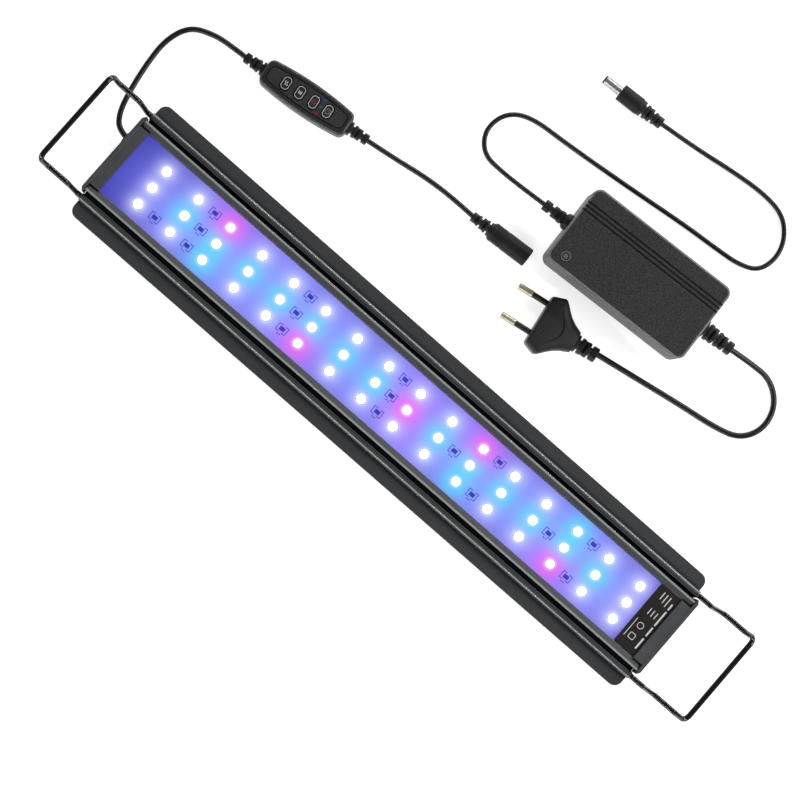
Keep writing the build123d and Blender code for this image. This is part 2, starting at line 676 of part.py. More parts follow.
relief_axis = upright(lying(SOCKET_END, SOCKET_ANGLE), -SOCKET_LENGTH, SOCKET_DIAMETER / 2, -1)
dc_socket_relief = turned(relief_axis, [(0, 0)] + [
    point
    for rib in range(5)
    for point in (
        (rib * 2.7, 4.0 - 0.3 * rib), (rib * 2.7 + 1.7, 3.9 - 0.3 * rib),
        (rib * 2.7 + 1.7, 2.7 - 0.15 * rib), (rib * 2.7 + 2.7, 2.7 - 0.15 * rib),
    )
][:-2] + [(SOCKET_RELIEF, 0)])
save(dc_socket_relief, "dc_socket_relief")

# ---------------------------------------------------------------- power adapter
adapter = lying(ADAPTER_CENTRE, ADAPTER_ANGLE)
ADAPTER_BOARD = 5.0
ADAPTER_PARTS = ADAPTER_BOARD + 1.6
ADAPTER_NECK = 6.0
DC_RELIEF = 17.0
MAINS_RELIEF = 20.0


def adapter_outline(inset):
    """Plan of the adapter at a given distance inside its outer wall."""
    RectangleRounded(ADAPTER_LENGTH - 2 * inset, ADAPTER_WIDTH - 2 * inset, ADAPTER_CORNER - inset)


def adapter_neck_holes():
    """Holes in both short walls for the strain reliefs, centred on the split between the shells."""
    for end in (-1, 1):
        axis = upright(adapter, end * ADAPTER_LENGTH / 2, ADAPTER_SPLIT, end)
        with BuildSketch(Plane(origin=axis.origin, z_dir=axis.x_dir)) as hole:
            Circle(ADAPTER_NECK / 2 + 0.05)
        extrude(hole.sketch, amount=-2 * ADAPTER_WALL, mode=Mode.SUBTRACT)


with BuildPart() as adapter_lower_case:
    with BuildSketch(adapter):
        adapter_outline(0)
    extrude(amount=ADAPTER_SPLIT)
    fillet(adapter_lower_case.faces().sort_by(Axis.Z)[0].edges(), ADAPTER_EDGE)
    chamfer(adapter_lower_case.faces().sort_by(Axis.Z)[-1].edges(), 0.3)
    with BuildSketch(adapter.offset(ADAPTER_WALL)):
        adapter_outline(ADAPTER_WALL)
    extrude(amount=ADAPTER_HEIGHT, mode=Mode.SUBTRACT)
    with BuildSketch(adapter.offset(ADAPTER_WALL)):
        with GridLocations(ADAPTER_LENGTH - 16, ADAPTER_WIDTH - 14, 2, 2):
            Circle(2.5)
    extrude(amount=ADAPTER_BOARD - ADAPTER_WALL)
    adapter_neck_holes()
save(adapter_lower_case, "adapter_lower_case")

with BuildPart() as adapter_upper_case:
    with BuildSketch(adapter.offset(ADAPTER_SPLIT)):
        adapter_outline(0)
    extrude(amount=ADAPTER_HEIGHT - ADAPTER_SPLIT)
    fillet(adapter_upper_case.faces().sort_by(Axis.Z)[-1].edges(), ADAPTER_EDGE)
    chamfer(adapter_upper_case.faces().sort_by(Axis.Z)[0].edges(), 0.3)
    with BuildSketch(adapter.offset(ADAPTER_HEIGHT)):
        with Locations((0, GROOVE_OFFSET)), GridLocations(0, GROOVE_PITCH, 1, GROOVES):
            Rectangle(ADAPTER_LENGTH, GROOVE_WIDTH)
    extrude(amount=-0.6, mode=Mode.SUBTRACT)
    with BuildSketch(adapter.offset(ADAPTER_HEIGHT - 0.5)):
        with Locations(LAMP_SPOT):
            Circle(LAMP_RING / 2)
    extrude(amount=0.8)
    with BuildSketch(adapter.offset(ADAPTER_HEIGHT - 0.1)):
        with Locations(LAMP_SPOT):
            Circle(LAMP_RING / 2 - 0.6)
    extrude(amount=1, mode=Mode.SUBTRACT)
    with BuildSketch(adapter.offset(ADAPTER_SPLIT)):
        adapter_outline(ADAPTER_WALL)
    extrude(amount=ADAPTER_HEIGHT - ADAPTER_WALL - ADAPTER_SPLIT, mode=Mode.SUBTRACT)
    with BuildSketch(adapter.offset(ADAPTER_SPLIT)):
        with Locations(LAMP_SPOT):
            Circle(LAMP_DIAMETER / 2)
    extrude(amount=ADAPTER_HEIGHT, mode=Mode.SUBTRACT)
    adapter_neck_holes()
save(adapter_upper_case, "adapter_upper_case")

with BuildPart() as adapter_lamp:
    with BuildSketch(adapter.offset(ADAPTER_HEIGHT - ADAPTER_WALL - 2)):
        with Locations(LAMP_SPOT):
            Circle(LAMP_DIAMETER / 2)
    extrude(amount=ADAPTER_WALL + 2.1)
save(adapter_lamp, "adapter_lamp")

with BuildPart() as adapter_board:
    with BuildSketch(adapter.offset(ADAPTER_BOARD)):
        Rectangle(ADAPTER_LENGTH - 10, ADAPTER_WIDTH - 7)
    extrude(amount=ADAPTER_PARTS - ADAPTER_BOARD)
save(adapter_board, "adapter_board")

with BuildPart() as transformer:
    with BuildSketch(adapter.offset(ADAPTER_PARTS)):
        with Locations((2, -3)):
            Rectangle(22, 20)
    extrude(amount=15)
    chamfer(transformer.edges().filter_by(Axis.Z), 2)
save(transformer, "transformer")

with BuildPart() as input_capacitor:
    with BuildSketch(adapter.offset(ADAPTER_PARTS)):
        with Locations((25, 4)):
            Circle(6.3)
    extrude(amount=15.5)
    fillet(input_capacitor.faces().sort_by(Axis.Z)[-1].edges(), 0.8)
save(input_capacitor, "input_capacitor")

with BuildPart() as output_capacitors:
    with BuildSketch(adapter.offset(ADAPTER_PARTS)):
        with Locations((-24, 8), (-24, -2)):
            Circle(4.0)
    extrude(amount=12)
save(output_capacitors, "output_capacitors")

with BuildPart() as heat_sink:
    with BuildSketch(adapter.offset(ADAPTER_PARTS)):
        with Locations((0, 15)):
            Rectangle(36, 1.6)
    extrude(amount=14)
save(heat_sink, "heat_sink")

dc_side = upright(adapter, -ADAPTER_LENGTH / 2, ADAPTER_SPLIT, -1)
adapter_dc_relief = turned(dc_side, [
    (-ADAPTER_WALL - 1.4, 0), (-ADAPTER_WALL - 1.4, 4.4), (-ADAPTER_WALL - 0.05, 4.4),
    (-ADAPTER_WALL - 0.05, ADAPTER_NECK / 2), (0.05, ADAPTER_NECK / 2), (0.05, 4.6), (2.2, 4.4), (3.2, 3.4),
    (4.2, 2.4), (6.0, 2.4), (6.0, 3.6), (9.0, 3.6), (9.0, 2.4), (10.2, 2.4), (10.2, 3.5), (12.6, 3.5),
    (12.6, 2.3), (13.6, 2.3), (13.6, 3.3), (DC_RELIEF, 3.1), (DC_RELIEF, 0),
])
save(adapter_dc_relief, "adapter_dc_relief")

mains_side = upright(adapter, ADAPTER_LENGTH / 2, ADAPTER_SPLIT)
save(ribbed_relief(mains_side, ADAPTER_WALL, MAINS_RELIEF, 5, 10.4, 7.6, ADAPTER_NECK, 9.0), "adapter_mains_relief")

# ---------------------------------------------------------------- barrel plug
barrel_height = BARREL_BODY / 2
barrel_base = lying(BARREL_END, BARREL_ANGLE)
plug_back = upright(barrel_base, BARREL_RELIEF, barrel_height, -1)
barrel_relief = turned(plug_back, [(0, 0)] + [
    point
    for rib in range(4)
    for point in (
        (rib * 3.6, 4.3 - 0.35 * rib), (rib * 3.6 + 2.4, 4.15 - 0.35 * rib),
        (rib * 3.6 + 2.4, 2.4 - 0.15 * rib), (rib * 3.6 + 3.6, 2.4 - 0.15 * rib),
    )
][:-2] + [(BARREL_RELIEF, 3.1), (BARREL_RELIEF, 0)])
save(barrel_relief, "barrel_relief")

plug_front = upright(barrel_base, BARREL_RELIEF + BARREL_BODY_LENGTH, barrel_height)
barrel_body = turned(plug_front, [
    (-BARREL_BODY_LENGTH, 0), (-BARREL_BODY_LENGTH, 4.5), (-BARREL_BODY_LENGTH + 1.5, BARREL_BODY / 2),
    (-0.4, BARREL_BODY / 2), (0, BARREL_BODY / 2 - 0.4), (0, BARREL_ROOT_DIAMETER / 2),
    (-BARREL_ROOT, BARREL_ROOT_DIAMETER / 2), (-BARREL_ROOT, 0),
])
save(barrel_body, "barrel_body")

barrel_tube = turned(plug_front, [
    (-BARREL_ROOT, BARREL_BORE / 2), (-BARREL_ROOT, BARREL_ROOT_DIAMETER / 2), (0, BARREL_ROOT_DIAMETER / 2),
    (0, BARREL_DIAMETER / 2), (BARREL_LENGTH - BARREL_TIP, BARREL_DIAMETER / 2),
    (BARREL_LENGTH - BARREL_TIP, BARREL_BORE / 2),
])
save(barrel_tube, "barrel_tube")

barrel_insulator = turned(plug_front, [
    (BARREL_LENGTH - BARREL_TIP, BARREL_BORE / 2), (BARREL_LENGTH - BARREL_TIP, BARREL_DIAMETER / 2 - 0.3),
    (BARREL_LENGTH, BARREL_DIAMETER / 2 - 0.3), (BARREL_LENGTH, BARREL_BORE / 2),
])
save(barrel_insulator, "barrel_insulator")

# ---------------------------------------------------------------- mains plug
plug_height = PLUG_THICKNESS / 2
plug_base = lying(PLUG_END, PLUG_ANGLE)
front = PLUG_RELIEF + PLUG_LENGTH
with BuildPart() as mains_plug_body:
    with BuildSketch(plug_base):
        with BuildLine():
            Polyline(
                (PLUG_RELIEF, PLUG_NECK / 2), (front - 9, PLUG_WIDTH / 2), (front, PLUG_WIDTH / 2),
                (front, -PLUG_WIDTH / 2), (front - 9, -PLUG_WIDTH / 2), (PLUG_RELIEF, -PLUG_NECK / 2),
                close=True,
            )
        make_face()
        fillet(vertices(), 1.5)
    extrude(amount=PLUG_THICKNESS)
    rims = mains_plug_body.faces().filter_by(Axis.Z).edges()
    chamfer(rims, 1.3)
    pin_places = Plane(
        origin=upright(plug_base, front, plug_height).origin, x_dir=plug_base.y_dir, z_dir=plug_base.x_dir
    )
    with BuildSketch(pin_places):
        with GridLocations(PIN_SPACING, 0, 2, 1):
            Circle(SLEEVE_DIAMETER / 2)
    extrude(amount=-PIN_ROOT, mode=Mode.SUBTRACT)
save(mains_plug_body, "mains_plug_body")

with BuildPart() as plug_pins:
    with BuildSketch(pin_places.offset(-PIN_ROOT)):
        with GridLocations(PIN_SPACING, 0, 2, 1):
            Circle(PIN_CORE / 2)
    extrude(amount=PIN_ROOT + PIN_SLEEVE)
    with BuildSketch(pin_places.offset(PIN_SLEEVE)):
        with GridLocations(PIN_SPACING, 0, 2, 1):
            Circle(PIN_DIAMETER / 2)
    extrude(amount=PIN_LENGTH - PIN_SLEEVE)
    tips = plug_pins.edges().filter_by(GeomType.CIRCLE).sort_by(Axis(plug_base.origin, plug_base.x_dir))[-2:]
    fillet(tips, PIN_ROUNDING)
save(plug_pins, "plug_pins")

with BuildPart() as pin_sleeves:
    with BuildSketch(pin_places.offset(-PIN_ROOT)):
        with GridLocations(PIN_SPACING, 0, 2, 1):
            Circle(SLEEVE_DIAMETER / 2)
            Circle(PIN_CORE / 2, mode=Mode.SUBTRACT)
    extrude(amount=PIN_ROOT + PIN_SLEEVE)
save(pin_sleeves, "pin_sleeves")

mains_back = upright(plug_base, PLUG_RELIEF, plug_height, -1)
mains_plug_relief = turned(mains_back, [
    (0, 0), (0, 5.2), (2.0, 5.0), (2.0, 3.4), (3.6, 3.4), (3.6, 4.7), (5.6, 4.6), (5.6, 3.2), (7.2, 3.2),
    (7.2, 4.6), (9.4, 4.5), (9.4, 3.1), (10.6, 3.1), (10.6, 4.3), (PLUG_RELIEF, 4.1), (PLUG_RELIEF, 0),
])
save(mains_plug_relief, "mains_plug_relief")

# ---------------------------------------------------------------- cords, each from end to end
light_cord_z = LIGHT_CORD / 2
socket_cord_z = SOCKET_CORD / 2
adapter_cord_z = ADAPTER_CORD / 2
mains_cord_z = MAINS_CORD / 2

cord("light_cord", [
    (-197.0, 10.8, 6.6), (-208.0, 11.2, 6.0), (-214.8, 19.0, 4.2), (-218.8, 33.0, 2.0),
    (-221.6, 50.0, light_cord_z), (-222.6, 66.0, light_cord_z), (-217.5, 80.5, light_cord_z),
    (-204.0, 86.2, 2.4), (-192.5, 87.4, 4.2), (-181.5, 87.9, 5.5),
], LIGHT_CORD)
cord("socket_cord", [
    (-104.2, 97.5, 5.5), (-86.0, 100.4, 2.8), (-66.0, 104.2, socket_cord_z), (-47.4, 105.4, 2.9),
    (-30.2, 104.8, 5.5),
], SOCKET_CORD)
cord("adapter_cord", [
    (-5.0, 135.0, 13.0), (-20.0, 134.4, 9.0), (-36.0, 134.6, 2.4), (-50.0, 135.4, adapter_cord_z),
    (-58.5, 146.0, adapter_cord_z), (-56.0, 160.5, adapter_cord_z), (-44.0, 168.6, adapter_cord_z),
    (-18.0, 170.6, adapter_cord_z), (22.0, 175.2, adapter_cord_z), (60.0, 180.2, adapter_cord_z),
    (83.0, 182.2, adapter_cord_z), (97.0, 183.8, adapter_cord_z), (108.0, 188.4, adapter_cord_z),
    (111.5, 200.0, adapter_cord_z), (108.0, 212.0, adapter_cord_z), (98.0, 221.4, adapter_cord_z),
    (82.0, 223.2, adapter_cord_z), (60.0, 220.8, adapter_cord_z), (36.0, 216.4, 2.6),
    (12.0, 213.3, barrel_height),
], ADAPTER_CORD)
cord("mains_cord", [
    (122.6, 142.8, 13.0), (137.4, 145.4, 8.4), (153.0, 147.0, 2.2), (165.0, 138.0, mains_cord_z),
    (168.5, 123.6, mains_cord_z), (161.5, 110.6, mains_cord_z), (146.0, 106.0, mains_cord_z),
    (124.0, 102.8, mains_cord_z), (96.0, 97.6, 3.2), (68.8, 92.4, plug_height),
], MAINS_CORD)
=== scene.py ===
"""Looks of the LED aquarium light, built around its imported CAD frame. All lengths are in metres.

The light lies on its back on z = 0. +X runs from its cord end to its label end, +Y towards the adapter.
"""
import json
from math import cos, exp, hypot, pi, radians, sin

import bpy
from mathutils import Matrix, Vector, geometry


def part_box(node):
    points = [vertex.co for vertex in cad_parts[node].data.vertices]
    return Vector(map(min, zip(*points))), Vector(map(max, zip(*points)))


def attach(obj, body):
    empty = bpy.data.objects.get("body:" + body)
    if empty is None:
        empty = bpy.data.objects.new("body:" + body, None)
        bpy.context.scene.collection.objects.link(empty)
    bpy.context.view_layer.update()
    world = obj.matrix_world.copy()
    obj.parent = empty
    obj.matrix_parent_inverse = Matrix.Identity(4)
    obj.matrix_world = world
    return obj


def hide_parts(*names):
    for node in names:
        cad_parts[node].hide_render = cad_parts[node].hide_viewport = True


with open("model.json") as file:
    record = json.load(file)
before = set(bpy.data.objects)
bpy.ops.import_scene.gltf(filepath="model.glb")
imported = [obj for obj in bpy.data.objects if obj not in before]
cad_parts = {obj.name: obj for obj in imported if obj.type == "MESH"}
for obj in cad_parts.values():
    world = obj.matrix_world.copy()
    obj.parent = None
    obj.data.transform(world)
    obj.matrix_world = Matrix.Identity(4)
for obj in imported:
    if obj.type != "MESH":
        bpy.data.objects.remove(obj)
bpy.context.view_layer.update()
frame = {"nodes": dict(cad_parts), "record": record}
nodes = frame["nodes"]
MM = 0.001

# ---------------------------------------------------------------- places, from the frame
CONTROLLER_TURN = radians(7.0)
ADAPTER_TURN = radians(3.5)
SOCKET_TURN = radians(4.2)
BARREL_TURN = radians(183.3)
PLUG_TURN = radians(189.3)


def middle(node):
    """Centre of a CAD node's box."""
    low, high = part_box(node)
    return (low + high) / 2


def placed(point, turn):
    """Frame at a point, turned about +Z."""
    return Matrix.Translation(point) @ Matrix.Rotation(turn, 4, "Z")


controller = placed(middle("controller_lower_case"), CONTROLLER_TURN)
adapter = placed(middle("adapter_lower_case"), ADAPTER_TURN)
CONTROLLER_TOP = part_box("controller_upper_case")[1].z
LAMP_RING_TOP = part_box("adapter_upper_case")[1].z
LAMP_RING_HEIGHT = 0.3 * MM
ADAPTER_TOP = LAMP_RING_TOP - LAMP_RING_HEIGHT
BUTTON_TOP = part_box("button_1")[1].z
BOARD_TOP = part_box("circuit_board")[1].z
HOUSING_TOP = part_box("housing_extrusion")[1].z
RAIL_TOP = 8.85 * MM            # crest of the round rails that hold the bracket legs
PRINT_SINK = 0.02 * MM          # how far printed marks reach into the surface under them
PRINT_RISE = 0.05 * MM


# ---------------------------------------------------------------- mesh tools
MITRE_LIMIT = 0.8               # keeps a ribbon from growing wide at its sharp corners
BEVEL_SEGMENTS = 2
BEVEL_ANGLE = radians(40)


class Shape:
    """Points and faces gathered for one mesh."""

    def __init__(self):
        self.points = []
        self.faces = []

    def add(self, points, faces, place=None):
        """Take in one closed form, placed by a matrix."""
        start = len(self.points)
        for point in points:
            self.points.append(place @ Vector(point) if place else Vector(point))
        self.faces += [tuple(start + corner for corner in face) for face in faces]

    def rings(self, rings, place=None):
        """Closed form through rings of equal length, capped at both ends."""
        count = len(rings[0])
        faces = [tuple(reversed(range(count)))]
        for ring in range(len(rings) - 1):
            for corner in range(count):
                following = (corner + 1) % count
                low, high = ring * count, (ring + 1) * count
                faces.append((low + corner, low + following, high + following, high + corner))
        faces.append(tuple((len(rings) - 1) * count + corner for corner in range(count)))
        self.add([point for ring in rings for point in ring], faces, place)

    def prism(self, outline, low, high, edge=0.0, place=None):
        """Upright prism with its top edge bevelled by edge."""
        rings = [[(x, y, low) for x, y in outline]]
        if edge:
            rings.append([(x, y, high - edge) for x, y in outline])
            rings.append([(x, y, high) for x, y in shrunk(outline, edge)])
        else:
            rings.append([(x, y, high) for x, y in outline])
        self.rings(rings, place)

    def ribbon(self, line, width, low, high, closed=False, place=None):
        """Flat strip of even width along a line of points."""
        left, right = [], []
        count = len(line)
        for index, (x, y) in enumerate(line):
            before = line[index - 1] if closed or index else None
            after = line[(index + 1) % count] if closed or index < count - 1 else None
            incoming = unit(before, (x, y)) if before else unit((x, y), after)
            outgoing = unit((x, y), after) if after else incoming
            across = (-(incoming[1] + outgoing[1]), incoming[0] + outgoing[0])
            scale = width / max(across[0] ** 2 + across[1] ** 2, MITRE_LIMIT)
            left.append((x + across[0] * scale, y + across[1] * scale))
            right.append((x - across[0] * scale, y - across[1] * scale))
        sections = [
            [(*right[i], low), (*left[i], low), (*left[i], high), (*right[i], high)] for i in range(count)
        ]
        if not closed:
            self.rings(sections, place)
            return
        points = [point for section in sections for point in section]
        faces = []
        for index in range(count):
            here, there = index * 4, (index + 1) % count * 4
            for corner in range(4):
                following = (corner + 1) % 4
                faces.append((here + corner, here + following, there + following, there + corner))
        self.add(points, faces, place)

    def piece(self, name, material, slot, body="light", bevel=0.0, sharp=35.0, hides=()):
        """Make the mesh object, on its body and with its material."""
        mesh = bpy.data.meshes.new(name)
        mesh.from_pydata(self.points, [], self.faces)
        mesh.validate()
        mesh.shade_smooth()
        mesh.set_sharp_from_angle(angle=radians(sharp))
        piece = bpy.data.objects.new(name, mesh)
        bpy.context.collection.objects.link(piece)
        mesh.materials.append(material)
        if bevel:
            rounding = piece.modifiers.new("rounding", "BEVEL")
            rounding.width = bevel
            rounding.segments = BEVEL_SEGMENTS
            rounding.limit_method = "ANGLE"
            rounding.angle_limit = BEVEL_ANGLE
        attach(piece, body)
        if hides:
            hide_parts(*hides)
        return piece


def unit(start, end):
    """Direction from one flat point to another."""
    length = hypot(end[0] - start[0], end[1] - start[1])
    return ((end[0] - start[0]) / length, (end[1] - start[1]) / length)


def shrunk(outline, inset):
    """Convex outline moved inwards, towards its own middle."""
    x0 = sum(x for x, y in outline) / len(outline)
    y0 = sum(y for x, y in outline) / len(outline)
    moved = []
    for x, y in outline:
        reach = hypot(x - x0, y - y0)
        share = max(reach - inset * 1.2, 0) / reach
        moved.append((x0 + (x - x0) * share, y0 + (y - y0) * share))
    return moved


def circle(x, y, radius, count=32):
    """Points of a circle."""
    angles = [2 * pi * step / count for step in range(count)]
    return [(x + radius * cos(angle), y + radius * sin(angle)) for angle in angles]


def rounded_box(x, y, length, width, corner, steps=5):
    """Outline of a rectangle with round corners."""
    outline = []
    for number, (sx, sy) in enumerate(((1, 1), (-1, 1), (-1, -1), (1, -1))):
        for step in range(steps + 1):
            angle = pi / 2 * (number + step / steps)
            outline.append((
                x + sx * (length / 2 - corner) + corner * cos(angle),
                y + sy * (width / 2 - corner) + corner * sin(angle),
            ))
    return outline


def superellipse(x, half_width, half_height, power, count=56):
    """Cross section in the plane across X: 2 is an ellipse, larger powers are squarer."""
    ring = []
    for index in range(count):
        angle = 2 * pi * index / count
        c, s = cos(angle), sin(angle)
        y = half_width * abs(c) ** (2 / power) * (1 if c >= 0 else -1)
        z = half_height * abs(s) ** (2 / power) * (1 if s >= 0 else -1)
        ring.append((x, y, z))
    return ring


# ---------------------------------------------------------------- materials
BEVEL_SAMPLES = 6
OCCLUSION_SAMPLES = 8
EDGE_BENDS = (0.02, 0.16)       # lean of the bevelled normal where an edge starts to show, and shows fully
# colour of the painted shade in crevices
CREVICE_SHADE_COLOUR = (0.002, 0.002, 0.002)
BLOTCH_SCALE = 38.0             # broad unevenness of colour, per metre
SPECKLE_SHARE = 0.62            # scale of the speckles against that of the grain
# how much lighter a painted highlight makes the colour along edges
EDGE_HIGHLIGHT = 3.2
RIM_POLISH = 0.6


def new_material(name):
    """Empty material: returns it with its tree, shader and object coordinates."""
    material = bpy.data.materials.new(name)
    material.use_nodes = True
    tree = material.node_tree
    shader = tree.nodes["Principled BSDF"]
    coordinates = tree.nodes.new("ShaderNodeTexCoord")
    return material, tree, shader, coordinates.outputs["Object"]


def noise(tree, coordinates, scale, detail=3.0, roughness=0.5, stretch=None):
    """Noise at a scale per metre, stretched along the axes if asked."""
    texture = tree.nodes.new("ShaderNodeTexNoise")
    texture.inputs["Scale"].default_value = scale
    texture.inputs["Detail"].default_value = detail
    texture.inputs["Roughness"].default_value = roughness
    if stretch:
        mapping = tree.nodes.new("ShaderNodeMapping")
        mapping.inputs["Scale"].default_value = stretch
        tree.links.new(coordinates, mapping.inputs["Vector"])
        coordinates = mapping.outputs["Vector"]
    tree.links.new(coordinates, texture.inputs["Vector"])
    return texture.outputs["Fac"]


def remap(tree, value, low, high, to_low, to_high):
    """Map a value from one range to another."""
    node = tree.nodes.new("ShaderNodeMapRange")
    for socket, number in zip(("From Min", "From Max", "To Min", "To Max"), (low, high, to_low, to_high)):
        node.inputs[socket].default_value = number
    tree.links.new(value, node.inputs["Value"])
    return node.outputs["Result"]


def mixed(tree, share, first, second):
    """Colour between two colours, each a tuple or a socket."""
    node = tree.nodes.new("ShaderNodeMix")
    node.data_type = "RGBA"
    tree.links.new(share, node.inputs["Factor"])
    for socket, colour in ((node.inputs[6], first), (node.inputs[7], second)):
        if isinstance(colour, tuple):
            socket.default_value = (*colour, 1.0)
        else:
            tree.links.new(colour, socket)
    return node.outputs[2]


def rounded_edges(tree, radius):
    """Normal with its edges rounded off, and a value that is 1 along edges and 0 on flat faces, which places a
    painted highlight.
    """
    bevel = tree.nodes.new("ShaderNodeBevel")
    bevel.samples = BEVEL_SAMPLES
    bevel.inputs["Radius"].default_value = radius
    surface = tree.nodes.new("ShaderNodeNewGeometry")
    dot = tree.nodes.new("ShaderNodeVectorMath")
    dot.operation = "DOT_PRODUCT"
    tree.links.new(bevel.outputs["Normal"], dot.inputs[0])
    tree.links.new(surface.outputs["Normal"], dot.inputs[1])
    start, full = EDGE_BENDS
    return bevel.outputs["Normal"], remap(tree, dot.outputs["Value"], 1 - start, 1 - full, 0.0, 1.0)


def bump(tree, shader, height, distance, strength=1.0, before=None):
    """Bump from a height, on top of an earlier normal if there is one."""
    node = tree.nodes.new("ShaderNodeBump")
    node.inputs["Strength"].default_value = strength
    node.inputs["Distance"].default_value = distance
    tree.links.new(height, node.inputs["Height"])
    if before:
        tree.links.new(before, node.inputs["Normal"])
    tree.links.new(node.outputs["Normal"], shader.inputs["Normal"])


def crevices(tree, colour, reach):
    """Colour with painted shade gathered in the grooves and corners narrower than reach."""
    occlusion = tree.nodes.new("ShaderNodeAmbientOcclusion")
    occlusion.samples = OCCLUSION_SAMPLES
    occlusion.inputs["Distance"].default_value = reach
    tree.links.new(colour, occlusion.inputs["Color"])
    hidden = remap(tree, occlusion.outputs["AO"], 0.45, 0.90, 1.0, 0.0)
    return mixed(tree, hidden, colour, CREVICE_SHADE_COLOUR)


def upward(tree, vector):
    """Z part of a vector."""
    split = tree.nodes.new("ShaderNodeSeparateXYZ")
    tree.links.new(vector, split.inputs["Vector"])
    return split.outputs["Z"]


def product(tree, first, second):
    """Two values multiplied."""
    node = tree.nodes.new("ShaderNodeMath")
    node.operation = "MULTIPLY"
    tree.links.new(first, node.inputs[0])
    tree.links.new(second, node.inputs[1])
    return node.outputs["Value"]


def highlight_band_mask(tree, coordinates, low, high, soft, rounded):
    """1 between two heights and 0 beyond them; on a rounded edge, only where the surface slopes. It places a
    painted highlight band.
    """
    height = upward(tree, coordinates)
    above = remap(tree, height, low - soft, low, 0.0, 1.0)
    below = remap(tree, height, high, high + soft, 1.0, 0.0)
    band = product(tree, above, below)
    if not rounded:
        return band
    surface = tree.nodes.new("ShaderNodeNewGeometry")
    slope = upward(tree, surface.outputs["Normal"])
    off_level = remap(tree, slope, 0.90, 0.98, 1.0, 0.0)
    off_upright = remap(tree, slope, 0.15, 0.35, 0.0, 1.0)
    return product(tree, band, product(tree, off_level, off_upright))


def shade(colour, factor):
    """Colour made lighter or darker."""
    return tuple(min(channel * factor, 1.0) for channel in colour)


def moulded(name, colour, roughness, grain=2600.0, depth=0.00005, strength=0.35, mottle=0.2,
            speckle=0.0, sparkle=3.4, edge=0.0, edge_radius=0.0004, specular=0.5, stretch=None,
            metallic=0.0, crevice_shade=0.0, highlight_rims=()):
    """Moulded, cast, drawn or printed surface: fine grain, uneven colour and sheen.

    speckle adds light dots, edge paints a highlight along the edges, the crevice reach paints shade into
    crevices narrower than it, and each rim band (low, high, soft, rounded, colour) paints a highlight along an
    upper edge.
    """
    material, tree, shader, coordinates = new_material(name)
    fine = noise(tree, coordinates, grain, 3.0, 0.55, stretch)
    broad = noise(tree, coordinates, BLOTCH_SCALE, 2.0)
    darker, lighter = shade(colour, 1 - mottle), shade(colour, 1 + mottle)
    base = mixed(tree, remap(tree, broad, 0.3, 0.7, 0.0, 1.0), darker, lighter)
    base = mixed(tree, remap(tree, fine, 0.35, 0.65, 0.0, 0.5), base, shade(colour, 1 + 2 * mottle))
    if speckle:
        dots = noise(tree, coordinates, grain * SPECKLE_SHARE, 1.0)
        base = mixed(tree, remap(tree, dots, 0.46, 0.60, 0.0, speckle), base, shade(colour, sparkle))
    normal = None
    gloss = remap(tree, fine, 0.3, 0.7, roughness * 0.88, roughness * 1.16)
    # painted highlight: the colour is lightened along the edges
    if edge:
        normal, mask = rounded_edges(tree, edge_radius)
        base = mixed(tree, remap(tree, mask, 0, 1, 0, edge), base, shade(colour, EDGE_HIGHLIGHT))
    # painted highlights: pale bands along upper edges, made glossier too
    for low, high, soft, rounded, pale in highlight_rims:
        mask = highlight_band_mask(tree, coordinates, low, high, soft, rounded)
        base = mixed(tree, mask, base, pale)
        polish = tree.nodes.new("ShaderNodeMix")
        polish.inputs["B"].default_value = roughness * RIM_POLISH
        tree.links.new(mask, polish.inputs["Factor"])
        tree.links.new(gloss, polish.inputs["A"])
        gloss = polish.outputs["Result"]
    # painted shade: grooves and corners narrower than the reach are darkened towards black
    if crevice_shade:
        base = crevices(tree, base, crevice_shade)
    tree.links.new(base, shader.inputs["Base Color"])
    tree.links.new(gloss, shader.inputs["Roughness"])
    shader.inputs["Specular IOR Level"].default_value = specular
    shader.inputs["Metallic"].default_value = metallic
    bump(tree, shader, fine, depth, strength, normal)
    return material


def lit(name, colour, glow, strength):
    """Lit plastic: its own colour, with a phosphor grain in the glow."""
    material, tree, shader, coordinates = new_material(name)
    grain = noise(tree, coordinates, 1400.0, 2.0)
    tree.links.new(mixed(tree, grain, shade(colour, 0.92), colour), shader.inputs["Base Color"])
    tree.links.new(mixed(tree, grain, shade(glow, 0.9), glow), shader.inputs["Emission Color"])
    shader.inputs["Emission Strength"].default_value = strength
    tree.links.new(remap(tree, grain, 0.3, 0.7, 0.4, 0.55), shader.inputs["Roughness"])
    shader.inputs["Specular IOR Level"].default_value = 0.12
    bump(tree, shader, grain, 0.00002, 0.3)
    return material


def glowing_board_material():
    """Solder mask under coloured light: the light is the mesh's own glow attribute."""
    material, tree, shader, coordinates = new_material("board_mask")
    glow = tree.nodes.new("ShaderNodeAttribute")
    glow.attribute_name = "glow"
    weave = noise(tree, coordinates, 1800.0, 2.0)
    base = mixed(tree, weave, (0.025, 0.025, 0.10), (0.035, 0.035, 0.12))
    tree.links.new(base, shader.inputs["Base Color"])
    tree.links.new(glow.outputs["Color"], shader.inputs["Emission Color"])
    shader.inputs["Emission Strength"].default_value = 1.0
    tree.links.new(remap(tree, weave, 0.3, 0.7, 0.6, 0.75), shader.inputs["Roughness"])
    shader.inputs["Specular IOR Level"].default_value = 0.2
    bump(tree, shader, weave, 0.00003, 0.25)
    return material


def clear_material():
    """Clear acrylic sheet, seen through almost unchanged, with faint wipe marks in its gloss."""
    material, tree, shader, coordinates = new_material("clear_acrylic")
    marks = noise(tree, coordinates, 60.0, 4.0, 0.6, (1.0, 6.0, 6.0))
    tree.links.new(mixed(tree, marks, (0.80, 0.84, 0.95), (0.9, 0.93, 1.0)), shader.inputs["Base Color"])
    shader.inputs["Alpha"].default_value = 0.03
    tree.links.new(remap(tree, marks, 0.3, 0.7, 0.06, 0.16), shader.inputs["Roughness"])
    bump(tree, shader, marks, 0.00001, 0.1)
    return material
